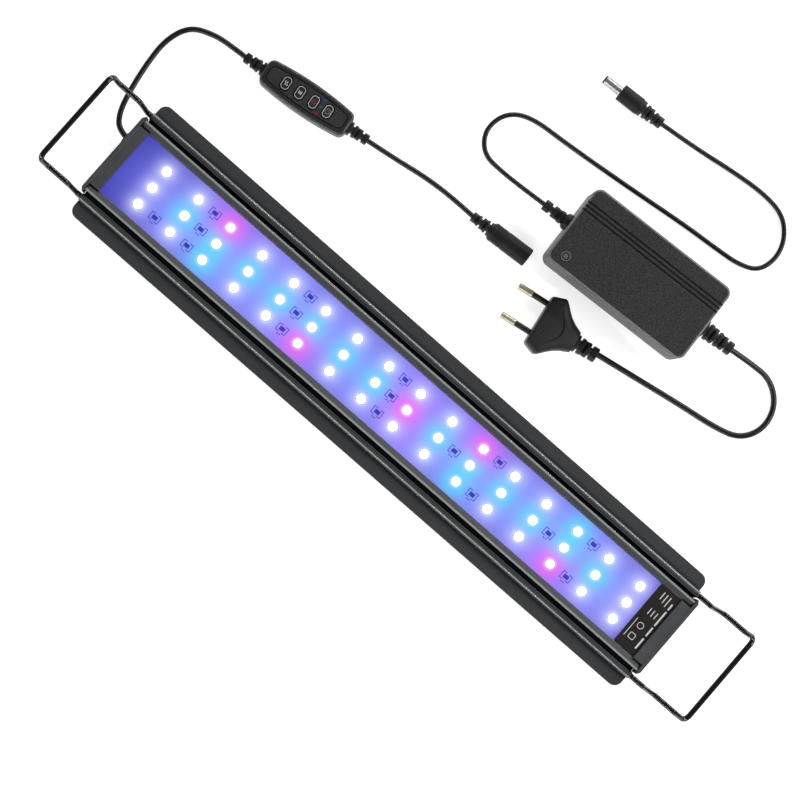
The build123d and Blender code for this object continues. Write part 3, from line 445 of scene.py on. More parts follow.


# painted highlights along the housing's lip, the rails' shoulders and the top edges of the adapter and the
# controller
LIP_HIGHLIGHT = (HOUSING_TOP - 0.0001, HOUSING_TOP + 0.001, 0.00005, False, (0.36, 0.37, 0.38))
SHOULDER_HIGHLIGHT = (RAIL_TOP - 0.0006, RAIL_TOP - 0.0003, 0.0001, True, (0.34, 0.35, 0.36))
ADAPTER_HIGHLIGHT = (ADAPTER_TOP - 0.0019, ADAPTER_TOP - 0.0001, 0.0002, True, (0.19, 0.19, 0.195))
CONTROLLER_HIGHLIGHT = (CONTROLLER_TOP - 0.0022, CONTROLLER_TOP, 0.0003, True, (0.065, 0.065, 0.067))
# painted light in these materials: edge paints highlights along edges, the crevice reach paints shade in
# grooves, rim bands paint highlights
MATERIALS = {
    "anodised_aluminium": moulded(
        "anodised_aluminium", (0.075, 0.080, 0.083), 0.24, grain=1.0, depth=0.00001, strength=0.1,
        mottle=0.06, edge=0.7, edge_radius=0.0005, stretch=(60.0, 5200.0, 5200.0), crevice_shade=0.0040,
        highlight_rims=(LIP_HIGHLIGHT, SHOULDER_HIGHLIGHT),
    ),
    "cap_plastic": moulded(
        "cap_plastic", (0.062, 0.064, 0.067), 0.55, edge=0.5, edge_radius=0.0005, speckle=0.12, specular=0.4,
    ),
    "foam": moulded(
        "foam", (0.010, 0.010, 0.010), 0.9, grain=1800.0, depth=0.0002, strength=0.6, specular=0.2,
    ),
    "steel": moulded(
        "steel", (0.32, 0.32, 0.33), 0.32, grain=900.0, depth=0.00002, mottle=0.1, metallic=1.0,
    ),
    "component": moulded("component", (0.010, 0.010, 0.011), 0.45, grain=3000.0),
    "label": moulded("label", (0.014, 0.010, 0.009), 0.38, grain=4000.0, depth=0.00001, mottle=0.12),
    "cord_rubber": moulded("cord_rubber", (0.006, 0.006, 0.0065), 0.33, grain=1500.0, strength=0.2),
    "copper_wire": moulded("copper_wire", (0.45, 0.03, 0.03), 0.4),
    "coated_wire": moulded(
        "coated_wire", (0.004, 0.004, 0.0045), 0.10, grain=900.0, depth=0.00002, strength=0.2, specular=0.7,
    ),
    "case_plastic": moulded(
        "adapter_plastic", (0.0145, 0.0145, 0.015), 0.44, grain=3300.0, depth=0.0001, strength=0.8,
        speckle=0.8, sparkle=5.0, edge=0.8, edge_radius=0.0006, specular=0.4, crevice_shade=0.0020,
        highlight_rims=(ADAPTER_HIGHLIGHT,),
    ),
    "controller_plastic": moulded(
        "controller_plastic", (0.019, 0.019, 0.0195), 0.42, depth=0.00006, strength=0.5, speckle=0.25,
        edge=0.6, edge_radius=0.0006, specular=0.4, crevice_shade=0.0012, highlight_rims=(CONTROLLER_HIGHLIGHT,),
    ),
    "face_plastic": moulded(
        "face_plastic", (0.024, 0.024, 0.026), 0.46, speckle=0.45, edge=0.4, specular=0.4, crevice_shade=0.0008,
    ),
    "button_plastic": moulded("button_plastic", (0.022, 0.022, 0.023), 0.42, grain=3200.0, specular=0.4),
    "lamp_blue": lit("lamp_blue", (0.02, 0.07, 0.20), (0.05, 0.20, 0.5), 0.08),
    "lamp_green": lit("lamp_green", (0.02, 0.11, 0.04), (0.05, 0.4, 0.12), 0.08),
    "lamp_red": lit("lamp_red", (0.19, 0.02, 0.02), (0.5, 0.06, 0.05), 0.08),
    "circuit_green": moulded("circuit_green", (0.02, 0.12, 0.04), 0.4, grain=1500.0),
    # painted shade: near-black, for the band round the controller's face plate
    "seam": moulded("seam", (0.002, 0.002, 0.002), 0.7, grain=3000.0, specular=0.15),
    "relief_rubber": moulded(
        "relief_rubber", (0.010, 0.010, 0.0105), 0.45, grain=2000.0, strength=0.3, edge=0.5, specular=0.45,
        crevice_shade=0.0020,
    ),
    "plug_plastic": moulded(
        "plug_plastic", (0.018, 0.018, 0.0185), 0.42, strength=0.3, edge=0.3, speckle=0.1,
        edge_radius=0.0005, specular=0.45,
    ),
    "connector_plastic": moulded(
        "connector_plastic", (0.013, 0.013, 0.013), 0.52, strength=0.3, speckle=0.1, edge=0.3,
        specular=0.25, crevice_shade=0.0010,
    ),
    "nickel": moulded(
        "nickel", (0.50, 0.50, 0.51), 0.34, grain=1.0, depth=0.000004, strength=0.1, mottle=0.03,
        metallic=0.85, stretch=(2000.0, 300.0, 300.0),
    ),
    "brass": moulded(
        "brass", (0.60, 0.54, 0.40), 0.42, grain=900.0, depth=0.000004, strength=0.1, mottle=0.04,
        metallic=0.85,
    ),
    "ferrite": moulded("ferrite", (0.10, 0.08, 0.02), 0.5),
    "capacitor_sleeve": moulded("capacitor_sleeve", (0.01, 0.01, 0.05), 0.3),
    "cast_aluminium": moulded("cast_aluminium", (0.55, 0.55, 0.57), 0.4, metallic=1.0),
    "lamp_clear": moulded("lamp_clear", (0.10, 0.10, 0.105), 0.25, speckle=0.2),
    "board_white": glowing_board_material(),
    "clear_acrylic": clear_material(),
    "led_white": lit("led_white", (0.75, 0.75, 0.85), (1.0, 0.99, 1.0), 6.0),
    "led_blue": lit("led_blue", (0.6, 0.8, 0.95), (0.75, 1.0, 1.0), 4.0),
    "led_red": lit("led_red", (0.95, 0.5, 0.6), (1.0, 0.42, 0.60), 3.0),
    # painted light: the LED packages and their tabs glow, though they are no lamps
    "package": lit("package", (0.20, 0.20, 0.34), (0.60, 0.62, 0.90), 0.75),
    "print_pale": moulded("print_pale", (0.72, 0.72, 0.73), 0.5, grain=3000.0, depth=0.00001),
    "print_grey": moulded("print_grey", (0.16, 0.16, 0.165), 0.5, grain=3000.0, depth=0.00001),
    "print_red": moulded("print_red", (0.36, 0.03, 0.03), 0.5, grain=3000.0, depth=0.00001),
    # painted light: the resistor chips, their ends and the board print glow, though they are no lamps
    "chip_blue": lit("chip_blue", (0.004, 0.004, 0.04), (0.012, 0.010, 0.42), 1.0),
    "silkscreen": lit("silkscreen", (0.01, 0.01, 0.08), (0.030, 0.028, 0.50), 1.0),
}
for part in frame["record"]["subparts"]:
    nodes[part["node"]].data.materials.clear()
    nodes[part["node"]].data.materials.append(MATERIALS[part["material_slot"]])
for name in ("controller_upper_case", "controller_lower_case"):
    nodes[name].data.materials[0] = MATERIALS["controller_plastic"]
for name in ("dc_socket_body", "barrel_body"):
    nodes[name].data.materials[0] = MATERIALS["connector_plastic"]


# ---------------------------------------------------------------- camera
CAMERA_PLACE = (-0.0470, -0.0663, 1.2000)
CAMERA_LENS = 97.97
SENSOR_WIDTH = 36.0
LEAN_X, LEAN_Y = radians(3.26), radians(-2.46)
ROLL = radians(41.03)


def make_camera():
    """Long lens almost straight above the light, rolled so that the light runs down to the right."""
    camera = bpy.data.objects.new("camera", bpy.data.cameras.new("camera"))
    bpy.context.collection.objects.link(camera)
    camera.data.lens = CAMERA_LENS
    camera.data.sensor_width = SENSOR_WIDTH
    camera.data.clip_start = 0.05
    camera.data.clip_end = 20.0
    aim = Matrix.Rotation(LEAN_Y, 4, "Y") @ Matrix.Rotation(LEAN_X, 4, "X")
    roll = Matrix.Rotation(ROLL, 4, "Z")
    camera.matrix_world = Matrix.Translation(CAMERA_PLACE) @ aim @ roll
    bpy.context.scene.camera = camera


make_camera()


# ---------------------------------------------------------------- strain reliefs
RIB_SHARE = 0.60                # of each pitch, the rest is the gap
RIB_EDGE = 0.25 * MM
BAR_WIDE, BAR_NARROW = 0.90, 0.56
BAR_START = 0.02 * MM
FLANGE_OVERLAP = 0.35           # share of a pitch that the flange takes from the first rib
FLANGE_POWER = 2.2


def strain_relief(name, place, length, ribs, root, tip, hides, power=3.0, flange=None):
    """Ribbed relief: square-edged ribs joined by bars that change sides from gap to gap."""
    pitch = length / ribs
    rib = pitch * RIB_SHARE
    edge = min(RIB_EDGE, rib * 0.2)
    shape = Shape()
    sections = []
    if flange:
        for x, radius in flange:
            sections.append(superellipse(x, radius, radius, FLANGE_POWER))
    for number in range(ribs):
        start = number * pitch
        if number == 0 and flange:
            start += pitch * FLANGE_OVERLAP
        end = number * pitch + rib if number < ribs - 1 else length
        radius = root + (tip - root) * number / max(ribs - 1, 1)
        inner = radius - edge
        for x, size in ((start, inner), (start + edge, radius), (end - edge, radius), (end, inner)):
            sections.append(superellipse(x, size, size, power))
        if number < ribs - 1:
            wide, narrow = radius * BAR_WIDE, radius * BAR_NARROW
            across, upright = (wide, narrow) if number % 2 else (narrow, wide)
            for x in (end + BAR_START, (number + 1) * pitch - BAR_START):
                sections.append(superellipse(x, across, upright, power))
    shape.rings(sections, place)
    return shape.piece(name, MATERIALS["relief_rubber"], "relief_rubber", hides=hides, sharp=40)


def along(base, turn, distance, height):
    """Frame at a distance from a base point in direction turn, at a height."""
    return placed((base[0] + distance * cos(turn), base[1] + distance * sin(turn), height), turn)


def ends_of(node, turn):
    """The two ends of a piece's middle line, from its box and its direction."""
    centre = middle(node)
    points = [vertex.co for vertex in nodes[node].data.vertices]
    direction = Vector((cos(turn), sin(turn), 0))
    reach = [(point - centre).dot(direction) for point in points]
    return centre + direction * min(reach), centre + direction * max(reach)


CASE_OVERLAP = 0.3 * MM         # how far a relief starts inside its case
CONTROLLER_HALF = 28.0 * MM
CONTROLLER_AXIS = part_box("controller_lower_case")[1].z
for side, turn in (("left", CONTROLLER_TURN + pi), ("right", CONTROLLER_TURN)):
    start = along(controller.translation, turn, CONTROLLER_HALF - CASE_OVERLAP, CONTROLLER_AXIS)
    strain_relief(
        f"controller_relief_{side}_ribs", start, 12.8 * MM, 4, 3.9 * MM, 3.0 * MM,
        (f"controller_relief_{side}",), power=4.0,
    )

MOULDING_OVERLAP = 0.4 * MM
ROUND_POWER = 2.6               # section of the reliefs on the socket and the plugs
socket_back = ends_of("dc_socket_body", SOCKET_TURN)[0]
strain_relief(
    "dc_socket_relief_ribs", along(socket_back, SOCKET_TURN + pi, -MOULDING_OVERLAP, socket_back.z),
    12.9 * MM, 5, 4.1 * MM, 2.9 * MM, ("dc_socket_relief",), ROUND_POWER,
)
barrel_back = ends_of("barrel_body", BARREL_TURN)[0]
strain_relief(
    "barrel_relief_ribs", along(barrel_back, BARREL_TURN + pi, -MOULDING_OVERLAP, barrel_back.z),
    14.9 * MM, 5, 4.5 * MM, 3.2 * MM, ("barrel_relief",), ROUND_POWER,
)
PLUG_OVERLAP = 0.6 * MM
plug_back, plug_front = ends_of("mains_plug_body", PLUG_TURN)
strain_relief(
    "mains_plug_relief_ribs", along(plug_back, PLUG_TURN + pi, -PLUG_OVERLAP, plug_back.z),
    14.6 * MM, 4, 5.1 * MM, 4.3 * MM, ("mains_plug_relief",), ROUND_POWER,
)

ADAPTER_HALF = 47.0 * MM
ADAPTER_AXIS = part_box("adapter_lower_case")[1].z
ADAPTER_DOME = [
    (0.0, 4.9 * MM), (1.6 * MM, 5.0 * MM), (2.8 * MM, 4.6 * MM), (3.8 * MM, 3.4 * MM), (4.4 * MM, 2.6 * MM),
]
adapter_reach = ADAPTER_HALF - CASE_OVERLAP
strain_relief(
    "adapter_dc_relief_ribs", along(adapter.translation, ADAPTER_TURN + pi, adapter_reach, ADAPTER_AXIS),
    17.3 * MM, 4, 3.9 * MM, 3.2 * MM, ("adapter_dc_relief",), flange=ADAPTER_DOME,
)
strain_relief(
    "adapter_mains_relief_ribs", along(adapter.translation, ADAPTER_TURN, adapter_reach, ADAPTER_AXIS),
    20.3 * MM, 6, 5.3 * MM, 3.9 * MM, ("adapter_mains_relief",),
)


# ---------------------------------------------------------------- adapter print, and painted shade round the controller's face plate
def adapter_ring():
    """Grey ring printed round the adapter's lamp."""
    lamp = middle("adapter_lamp")
    ring = Shape()
    ring.ribbon(
        circle(lamp.x, lamp.y, 2.5 * MM, 36), 0.4 * MM,
        LAMP_RING_TOP - PRINT_SINK, LAMP_RING_TOP + PRINT_RISE, True,
    )
    ring.piece("adapter_lamp_ring", MATERIALS["print_grey"], "case_plastic")


def face_groove_shade():
    """Near-black band round the controller's face plate: painted shade for the shadow in the gap round the
    plate.
    """
    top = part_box("controller_face_plate")[1].z
    corners = [vertex.co for vertex in nodes["controller_face_plate"].data.vertices]
    outline = [(corner.x, corner.y) for corner in corners if corner.z > top - 0.05 * MM]
    hull = [outline[index] for index in geometry.convex_hull_2d([Vector(point) for point in outline])]
    spaced = [
        (x, y) for (x, y), (x_before, y_before) in zip(hull, hull[-1:] + hull)
        if hypot(x - x_before, y - y_before) > 0.1 * MM
    ]
    seam = Shape()
    seam.ribbon(spaced, 0.55 * MM, top - 0.3 * MM, top + 0.04 * MM, True)
    seam.piece("controller_face_groove_shade", MATERIALS["seam"], "relief_rubber")


adapter_ring()
face_groove_shade()


# ---------------------------------------------------------------- cords
LIGHT_CORD, SOCKET_CORD, ADAPTER_CORD, MAINS_CORD = 0.0032, 0.0030, 0.0028, 0.0034      # diameters
LIGHT_ROUTE = [
    (-0.1970, 0.0108, 0.0066), (-0.2080, 0.0112, 0.0060), (-0.2148, 0.0190, 0.0042),
    (-0.2188, 0.0330, 0.0020), (-0.2216, 0.0500, 0.0016), (-0.2226, 0.0660, 0.0016),
    (-0.2175, 0.0805, 0.0016), (-0.2040, 0.0862, 0.0024), (-0.1925, 0.0874, 0.0042),
    (-0.1815, 0.0879, 0.0055),
]
SOCKET_ROUTE = [
    (-0.1042, 0.0975, 0.0055), (-0.0860, 0.1004, 0.0028), (-0.0660, 0.1042, 0.0015),
    (-0.0474, 0.1054, 0.0029), (-0.0302, 0.1048, 0.0055),
]
ADAPTER_ROUTE = [
    (-0.0050, 0.1350, 0.0130), (-0.0200, 0.1344, 0.0090), (-0.0360, 0.1346, 0.0024),
    (-0.0500, 0.1354, 0.0014), (-0.0585, 0.1460, 0.0014), (-0.0560, 0.1605, 0.0014),
    (-0.0440, 0.1686, 0.0014), (-0.0180, 0.1706, 0.0014), (0.0220, 0.1752, 0.0014),
    (0.0600, 0.1802, 0.0014), (0.0830, 0.1822, 0.0014), (0.0970, 0.1838, 0.0014),
    (0.1080, 0.1884, 0.0014), (0.1115, 0.2000, 0.0014), (0.1080, 0.2120, 0.0014),
    (0.0980, 0.2214, 0.0014), (0.0820, 0.2232, 0.0014), (0.0600, 0.2208, 0.0014),
    (0.0360, 0.2164, 0.0026), (0.0120, 0.2133, 0.0050),
]
MAINS_ROUTE = [
    (0.1226, 0.1428, 0.0130), (0.1374, 0.1454, 0.0084), (0.1530, 0.1470, 0.0022),
    (0.1650, 0.1380, 0.0017), (0.1685, 0.1236, 0.0017), (0.1615, 0.1106, 0.0017),
    (0.1460, 0.1060, 0.0017), (0.1240, 0.1028, 0.0017), (0.0960, 0.0976, 0.0032),
    (0.0688, 0.0924, 0.00685),
]


def make_cord(node, name, diameter, route):
    """Cord on a smooth spline whose control points are the route's points."""
    curve = bpy.data.curves.new(name, "CURVE")
    curve.dimensions = "3D"
    curve.bevel_depth = diameter / 2
    curve.bevel_resolution = 7
    curve.resolution_u = 16
    curve.use_fill_caps = True
    spline = curve.splines.new("NURBS")
    spline.points.add(len(route) - 1)
    for point, place in zip(spline.points, route):
        point.co = (*place, 1.0)
    spline.order_u = 3
    spline.use_endpoint_u = True
    curve.materials.append(MATERIALS["cord_rubber"])
    cord = bpy.data.objects.new(name, curve)
    bpy.context.collection.objects.link(cord)
    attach(cord, "light")
    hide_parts(node)
    return cord


light_cord = make_cord("light_cord", "light_cord_sheath", LIGHT_CORD, LIGHT_ROUTE)
socket_cord = make_cord("socket_cord", "socket_cord_sheath", SOCKET_CORD, SOCKET_ROUTE)
adapter_cord = make_cord("adapter_cord", "adapter_cord_sheath", ADAPTER_CORD, ADAPTER_ROUTE)
mains_cord = make_cord("mains_cord", "mains_cord_sheath", MAINS_CORD, MAINS_ROUTE)
controller_pieces = [
    "controller_lower_case", "controller_upper_case", "controller_face_plate", "controller_board",
    "key_switches", "indicator_blue", "indicator_green", "indicator_red",
    "controller_relief_left_ribs", "cord_grommet",
]
controller_pieces += [f"button_{number}" for number in range(1, 5)]


# ---------------------------------------------------------------- mains plug
PLUG_HALF_WIDTH, PLUG_HALF_HEIGHT = 17.65 * MM, 6.85 * MM
PLUG_STATIONS = (               # share of the length, of the half width, of the half height, squareness
    (0.000, 0.36, 0.76, 2.4), (0.06, 0.40, 0.80, 2.6), (0.20, 0.48, 0.86, 3.0), (0.34, 0.60, 0.91, 3.4),
    (0.46, 0.74, 0.95, 4.0), (0.56, 0.88, 0.98, 4.6), (0.64, 0.975, 1.0, 5.4), (0.70, 1.0, 1.0, 6.0),
    (0.90, 0.90, 1.0, 6.5), (0.955, 0.87, 0.985, 6.5), (0.985, 0.85, 0.95, 6.0), (1.0, 0.82, 0.90, 5.5),
)
plug_length = (plug_front - plug_back).length
plug_place = placed(plug_back, PLUG_TURN)


def plug_body():
    """Moulded two-pin plug: full width near the pins, hollow flanks and rounded edges."""
    shape = Shape()
    shape.rings([
        superellipse(plug_length * share, PLUG_HALF_WIDTH * wide, PLUG_HALF_HEIGHT * high, power, 96)
        for share, wide, high, power in PLUG_STATIONS
    ], plug_place)
    shape.piece(
        "mains_plug_moulding", MATERIALS["plug_plastic"], "plug_plastic", hides=("mains_plug_body",), sharp=50,
    )


def plug_marks():
    """Raised ring with its button and the curved grip line on top of the plug."""
    top, proud = PLUG_HALF_HEIGHT, PLUG_HALF_HEIGHT + 0.25 * MM
    x, y = plug_length * 0.84, 5.6 * MM
    shape = Shape()
    shape.ribbon(circle(x, y, 2.0 * MM), 0.6 * MM, top - 0.3 * MM, proud, True, plug_place)
    shape.prism(circle(x, y, 1.0 * MM, 20), top - 0.3 * MM, top + 0.10 * MM, 0.05 * MM, plug_place)
    grip = []
    for step in range(19):
        share = step / 18
        grip.append((plug_length * (0.62 - 0.26 * sin(pi * share)), (share - 0.5) * 20 * MM))
    shape.ribbon(grip, 0.8 * MM, top - 0.8 * MM, proud, False, plug_place)
    shape.piece("mains_plug_marks", MATERIALS["plug_plastic"], "plug_plastic", bevel=0.06 * MM)


plug_body()
plug_marks()


# ---------------------------------------------------------------- LEDs and board
def islands(node):
    """Middle points, in the plane, of a node's separate solids."""
    mesh = nodes[node].data
    leader = list(range(len(mesh.vertices)))
    same_place = {}
    for vertex in mesh.vertices:
        key = tuple(round(value * 1e5) for value in vertex.co)
        leader[vertex.index] = same_place.setdefault(key, vertex.index)

    def root(index):
        while leader[index] != index:
            leader[index] = leader[leader[index]]
            index = leader[index]
        return index

    for polygon in mesh.polygons:
        first = root(polygon.vertices[0])
        for index in polygon.vertices[1:]:
            leader[root(index)] = first
    groups = {}
    for vertex in mesh.vertices:
        groups.setdefault(root(vertex.index), []).append(vertex.co)
    centres = []
    for points in groups.values():
        xs, ys = [p.x for p in points], [p.y for p in points]
        centres.append(((min(xs) + max(xs)) / 2, (min(ys) + max(ys)) / 2))
    return sorted(centres)


LABEL_SHADE = 1.5 * MM          # how far the light reaches under the label's edge
label_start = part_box("rating_label")[0].x + LABEL_SHADE
led_places = {colour: islands(f"leds_{colour}") for colour in ("white", "blue", "red")}
resistor_places = islands("resistors")
HALOS = {                       # painted light close round each LED: colour, reach and strength
    "white": ((0.58, 0.62, 1.00), 6.0 * MM, 0.88),
    "blue": ((0.05, 0.76, 1.00), 7.8 * MM, 0.85),
    "red": ((1.00, 0.10, 0.80), 6.8 * MM, 0.95),
}
GLANCES = {                     # painted light in wide tints round the coloured LEDs: colour, reach and strength
    "blue": ((0.10, 0.34, 1.00), 15.0 * MM, 0.40),
    "red": ((0.48, 0.11, 1.00), 17.0 * MM, 0.62),
}
# painted light in the middle of the board, and painted shade at its ends
BOARD_MIDDLE = (0.265, 0.250, 0.98)
BOARD_END = (0.040, 0.040, 0.48)
UNDER_CAP = 0.0028              # length of board hidden in each end cap
CORD_END_FADE = 55 * MM         # how far the painted shade at the board's cord end reaches
LABEL_END_FADE = 14 * MM
# painted shade towards the board's long edges
EDGE_DIMMING = 0.22
CORE_REACH = 3.4 * MM
CORE_WHITE, CORE_COLOURED = 0.8, 0.45
HIDDEN_LIGHT = 0.05             # of the light, where a cap or the label covers the board
RIM_LIGHT = 0.3
GRID_CELL = 0.9 * MM


def board_glow(x, y, low, high):
    """Colour of the painted light on the board: violet blue, with painted shade towards the ends and the long
    edges, and a halo round each LED.
    """
    from_end = min(x - low.x, high.x - x)
    share = max(0.0, min(1.0, (x - low.x) / CORD_END_FADE, (label_start - x) / LABEL_END_FADE + 0.5))
    share = share * share * (3 - 2 * share)
    drift = 0.10 * sin(x * 61.0 + 0.6) + 0.06 * sin(x * 139.0 + y * 90.0)
    across = 1.0 - EDGE_DIMMING * (abs(y) / high.y) ** 2
    level = across + drift * 0.6
    colour = [(end + (centre - end) * share) * level for end, centre in zip(BOARD_END, BOARD_MIDDLE)]
    for name, (tint, reach, peak) in GLANCES.items():
        for led_x, led_y in led_places[name]:
            weight = peak * exp(-((hypot(x - led_x, y - led_y) / reach) ** 2)) * share
            colour = [value + (light - value) * weight for value, light in zip(colour, tint)]
    for name, (halo, reach, peak) in HALOS.items():
        for led_x, led_y in led_places[name]:
            distance = hypot(x - led_x, y - led_y)
            weight = peak * exp(-((distance / reach) ** 2))
            colour = [value + (light - value) * weight for value, light in zip(colour, halo)]
            whiteness = CORE_WHITE if name == "white" else CORE_COLOURED
            core = exp(-((distance / CORE_REACH) ** 4)) * whiteness
            colour = [value + (1.0 - value) * core for value in colour]
    if from_end < UNDER_CAP or x > label_start:
        colour = [value * HIDDEN_LIGHT for value in colour]
    return colour


def glowing_board():
    """Circuit board with a fine top grid that carries the light on it."""
    low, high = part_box("circuit_board")
    columns = round((high.x - low.x) / GRID_CELL)
    rows = round((high.y - low.y) / GRID_CELL)
    width = columns + 1
    points, faces = [], []
    for row in range(rows + 1):
        y = low.y + (high.y - low.y) * row / rows
        points += [(low.x + (high.x - low.x) * column / columns, y, high.z) for column in range(width)]
    for row in range(rows):
        for corner in range(row * width, row * width + columns):
            faces.append((corner, corner + 1, corner + width + 1, corner + width))
    rim = list(range(width))
    rim += [row * width + columns for row in range(1, rows + 1)]
    rim += [rows * width + column for column in range(columns - 1, -1, -1)]
    rim += [row * width for row in range(rows - 1, 0, -1)]
    start = len(points)
    points += [(points[index][0], points[index][1], low.z) for index in rim]
    for index, corner in enumerate(rim):
        following = (index + 1) % len(rim)
        faces.append((rim[following], corner, start + index, start + following))
    faces.append(tuple(reversed(range(start, start + len(rim)))))
    shape = Shape()
    shape.add(points, faces)
    board = shape.piece("glowing_board", MATERIALS["board_white"], "board_white", hides=("circuit_board",))
    glow = board.data.attributes.new("glow", "FLOAT_COLOR", "POINT")
    for index, vertex in enumerate(board.data.vertices):
        colour = board_glow(vertex.co.x, vertex.co.y, low, high)
        on_top = 1.0 if vertex.co.z > high.z - 0.1 * MM else RIM_LIGHT
        glow.data[index].color = (*[channel * on_top for channel in colour], 1.0)


glowing_board()

PACKAGE = 5.0 * MM
PACKAGE_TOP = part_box("leds_white")[1].z
LENS_POWER = 2.25
LENS_RINGS = (                  # radius, depth below the package's top
    (2.46 * MM, 0.5 * MM), (2.46 * MM, 0.22 * MM), (2.28 * MM, 0.09 * MM), (1.7 * MM, 0.02 * MM),
    (0.6 * MM, 0.0),
)
TAB_X, TAB_Y, TAB_LENGTH, TAB_WIDTH, TAB_HEIGHT = 2.75 * MM, 1.6 * MM, 0.8 * MM, 0.9 * MM, 0.25 * MM
CHAMFER = 0.05 * MM             # top edges of the small solids on the board
for colour, places in led_places.items():
    packages, lenses, tabs = Shape(), Shape(), Shape()
    for x, y in places:
        package = rounded_box(x, y, PACKAGE, PACKAGE, 0.5 * MM)
        packages.prism(package, BOARD_TOP, PACKAGE_TOP - 0.25 * MM, 0.15 * MM)
        lenses.rings([
            [(x + dx, y + dy, PACKAGE_TOP - depth) for _, dx, dy in superellipse(0, r, r, LENS_POWER, 40)]
            for r, depth in LENS_RINGS
        ])
        for side in (-1, 1):
            for row in (-1, 0, 1):
                tab = rounded_box(x + side * TAB_X, y + row * TAB_Y, TAB_LENGTH, TAB_WIDTH, 0.1 * MM, 2)
                tabs.prism(tab, BOARD_TOP, BOARD_TOP + TAB_HEIGHT, CHAMFER)
    packages.piece(
        f"led_packages_{colour}", MATERIALS["package"], f"led_{colour}", hides=(f"leds_{colour}",),
    )
    lenses.piece(f"led_lenses_{colour}", MATERIALS[f"led_{colour}"], f"led_{colour}")
    tabs.piece(f"led_tabs_{colour}", MATERIALS["package"], "steel")


def silkscreen():
    """Chip resistors, with the printed brackets and dots round them."""
    marks, chips, ends = Shape(), Shape(), Shape()
    low, high = BOARD_TOP - PRINT_SINK, BOARD_TOP + 0.06 * MM
    for x, y in resistor_places:
        for side in (-1, 1):
            near, far = x + side * 0.9 * MM, x + side * 3.1 * MM
            upper, lower = y + 2.5 * MM, y - 1.7 * MM
            marks.ribbon([(near, upper), (far, upper), (far, lower), (near, lower)], 0.42 * MM, low, high)
            end = rounded_box(x + side * 1.35 * MM, y + 0.4 * MM, 0.7 * MM, 2.4 * MM, 0.1 * MM, 2)
            ends.prism(end, BOARD_TOP, BOARD_TOP + 0.62 * MM, CHAMFER)
            dot = rounded_box(x + side * 0.75 * MM, y - 3.0 * MM, 0.9 * MM, 0.7 * MM, 0.2 * MM, 2)
            marks.prism(dot, low, high)
        chip = rounded_box(x, y + 0.4 * MM, 2.2 * MM, 2.3 * MM, 0.1 * MM, 2)
        chips.prism(chip, BOARD_TOP, BOARD_TOP + 0.7 * MM, CHAMFER)
    chips.piece("resistor_chips", MATERIALS["chip_blue"], "component", hides=("resistors",))
    ends.piece("resistor_ends", MATERIALS["silkscreen"], "component")
    marks.piece("board_print", MATERIALS["silkscreen"], "component")


silkscreen()


# ---------------------------------------------------------------- rating label, generic marks only
def label_print():
    """Blank bars where a rating label has its lines of text, a plain ring and a plain square."""
    low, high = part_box("rating_label")
    length, width = high.x - low.x, high.y - low.y
    bars = Shape()
    bottom, top = high.z - PRINT_SINK, high.z + 0.04 * MM

    def bar(across, start, end, thick):
        """One bar: across is the share along X, start and end are shares along Y from the +Y edge."""
        x = low.x + length * across
        y_middle = high.y - width * (start + end) / 2
        bars.prism(rounded_box(x, y_middle, thick, width * (end - start), thick * 0.3, 2), bottom, top)

    for start, end in ((0.12, 0.22), (0.25, 0.50), (0.53, 0.68), (0.72, 0.90)):
        bar(0.86, start, end, 1.0 * MM)
    for row, across in enumerate((0.66, 0.50, 0.34)):
        bar(across, 0.06, 0.22 - 0.02 * row, 0.55 * MM)
        bar(across, 0.34, 0.44, 0.55 * MM)
    x, stroke = low.x + length * 0.44, 0.4 * MM
    bars.ribbon(circle(x, high.y - width * 0.62, 1.8 * MM, 28), stroke, bottom, top, True)
    square = rounded_box(x, high.y - width * 0.80, 3.4 * MM, 3.4 * MM, 0.6 * MM)
    bars.ribbon(square, stroke, bottom, top, True)
    bar(0.16, 0.56, 0.86, 0.4 * MM)
    bars.piece("label_bars", MATERIALS["print_pale"], "label")


label_print()


# ---------------------------------------------------------------- controller print
def octagon(long, wide, cut):
    """Outline of a rectangle with its corners cut off, round the origin."""
    return [
        (long - cut, wide), (-long + cut, wide), (-long, wide - cut), (-long, -wide + cut),
        (-long + cut, -wide), (long - cut, -wide), (long, -wide + cut), (long, wide - cut),
    ]


def button_sign(number):
    """Strips of a button's plain sign, round the origin: points, width, and whether they form a loop."""
    strips = []
    if number == 1:             # two waves
        for lift in (-0.55, 0.55):
            wave = [(lift * MM + 0.45 * MM * sin(step * 1.05), (step - 3) * 0.42 * MM) for step in range(7)]
            strips.append((wave, 0.30 * MM, False))
    elif number == 2:           # three bars
        for lift in (-0.8, 0.0, 0.8):
            strips.append(([(lift * MM, -0.9 * MM), (lift * MM, 0.9 * MM)], 0.36 * MM, False))
    elif number == 3:           # sun with eight rays
        strips.append((circle(0, 0, 0.85 * MM, 20), 0.30 * MM, True))
        for turn in range(8):
            c, s = cos(turn * pi / 4), sin(turn * pi / 4)
            ray = [(1.25 * MM * c, 1.25 * MM * s), (1.75 * MM * c, 1.75 * MM * s)]
            strips.append((ray, 0.26 * MM, False))
    else:                       # clock with two hands
        strips.append((circle(0, 0, 1.45 * MM, 28), 0.42 * MM, True))
        for tip in ((0, 0.95 * MM), (0.7 * MM, 0)):
            strips.append(([(0, 0), tip], 0.30 * MM, False))
    return strips


SIGN_INKS = {1: "print_pale", 2: "print_pale", 3: "print_red", 4: "print_grey"}


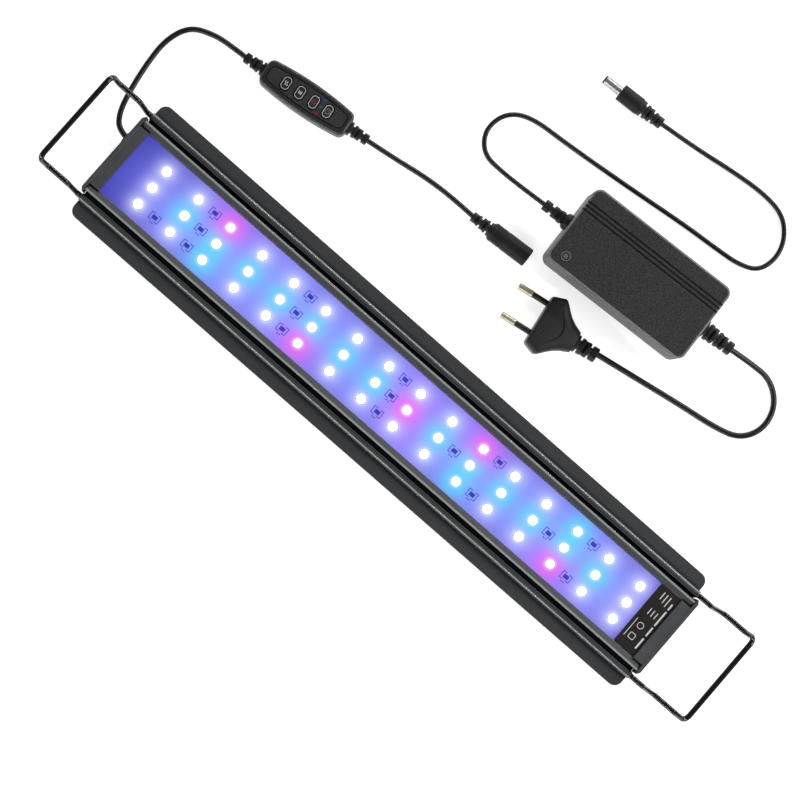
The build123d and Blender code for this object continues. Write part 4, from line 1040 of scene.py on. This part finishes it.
def button_print():
    """Pale outline and a plain sign on each button, going down with it."""
    low, high = BUTTON_TOP - PRINT_SINK, BUTTON_TOP + PRINT_RISE
    for number, ink in SIGN_INKS.items():
        button = f"button_{number}"
        place = placed((*middle(button).xy, 0.0), CONTROLLER_TURN)
        rim = Shape()
        rim.ribbon(octagon(2.15 * MM, 3.45 * MM, 1.15 * MM), 0.24 * MM, low, high, True, place)
        rim.piece(f"{button}_outline", MATERIALS["print_pale"], "button_plastic", button)
        sign = Shape()
        for line, width, closed in button_sign(number):
            sign.ribbon(line, width, low, high, closed, place)
        sign.piece(f"{button}_sign", MATERIALS[ink], "button_plastic", button)


button_print()


# ---------------------------------------------------------------- floor and light
FLOOR_REACH = 4.0
FLOOR_DROP = 0.0001             # keeps the floor just below the pieces that lie on it
FLOOR_GLOW = 0.75
WORLD_GLOW = 0.12
LIGHT_TARGET = (0.0, 0.05, 0.0)


def floor():
    """Plain pale floor under everything."""
    material, tree, shader, coordinates = new_material("floor")
    grain = noise(tree, coordinates, 40.0, 2.0)
    tree.links.new(mixed(tree, grain, (0.91, 0.91, 0.91), (0.93, 0.93, 0.93)), shader.inputs["Base Color"])
    shader.inputs["Roughness"].default_value = 0.9
    shader.inputs["Specular IOR Level"].default_value = 0.1
    shader.inputs["Emission Color"].default_value = (1.0, 1.0, 1.0, 1.0)
    shader.inputs["Emission Strength"].default_value = FLOOR_GLOW
    mesh = bpy.data.meshes.new("floor")
    corners = [(x * FLOOR_REACH, y * FLOOR_REACH, 0) for x, y in ((-1, -1), (1, -1), (1, 1), (-1, 1))]
    mesh.from_pydata(corners, [], [(0, 1, 2, 3)])
    mesh.materials.append(material)
    plane = bpy.data.objects.new("floor", mesh)
    plane.location.z = -FLOOR_DROP
    bpy.context.collection.objects.link(plane)


def softbox(name, place, length, width, power):
    """Area light aimed at the light's middle, its length level with the floor."""
    light = bpy.data.lights.new(name, "AREA")
    light.shape = "RECTANGLE"
    light.size = length
    light.size_y = width
    light.energy = power
    lamp = bpy.data.objects.new(name, light)
    lamp.location = place
    lamp.rotation_euler = (Vector(LIGHT_TARGET) - Vector(place)).to_track_quat("-Z", "Y").to_euler()
    bpy.context.collection.objects.link(lamp)


floor()
softbox("strip_far", (0.0, 1.25, 0.62), 2.2, 0.05, 13.0)
softbox("strip_near", (0.0, -1.25, 0.62), 2.2, 0.05, 13.0)
softbox("key", (0.95, 0.50, 0.90), 0.6, 0.6, 6.0)
world = bpy.data.worlds.new("studio")
bpy.context.scene.world = world
world.use_nodes = True
world.node_tree.nodes["Background"].inputs["Color"].default_value = (1.0, 1.0, 1.0, 1.0)
world.node_tree.nodes["Background"].inputs["Strength"].default_value = WORLD_GLOW
bpy.context.scene.view_settings.view_transform = "Standard"
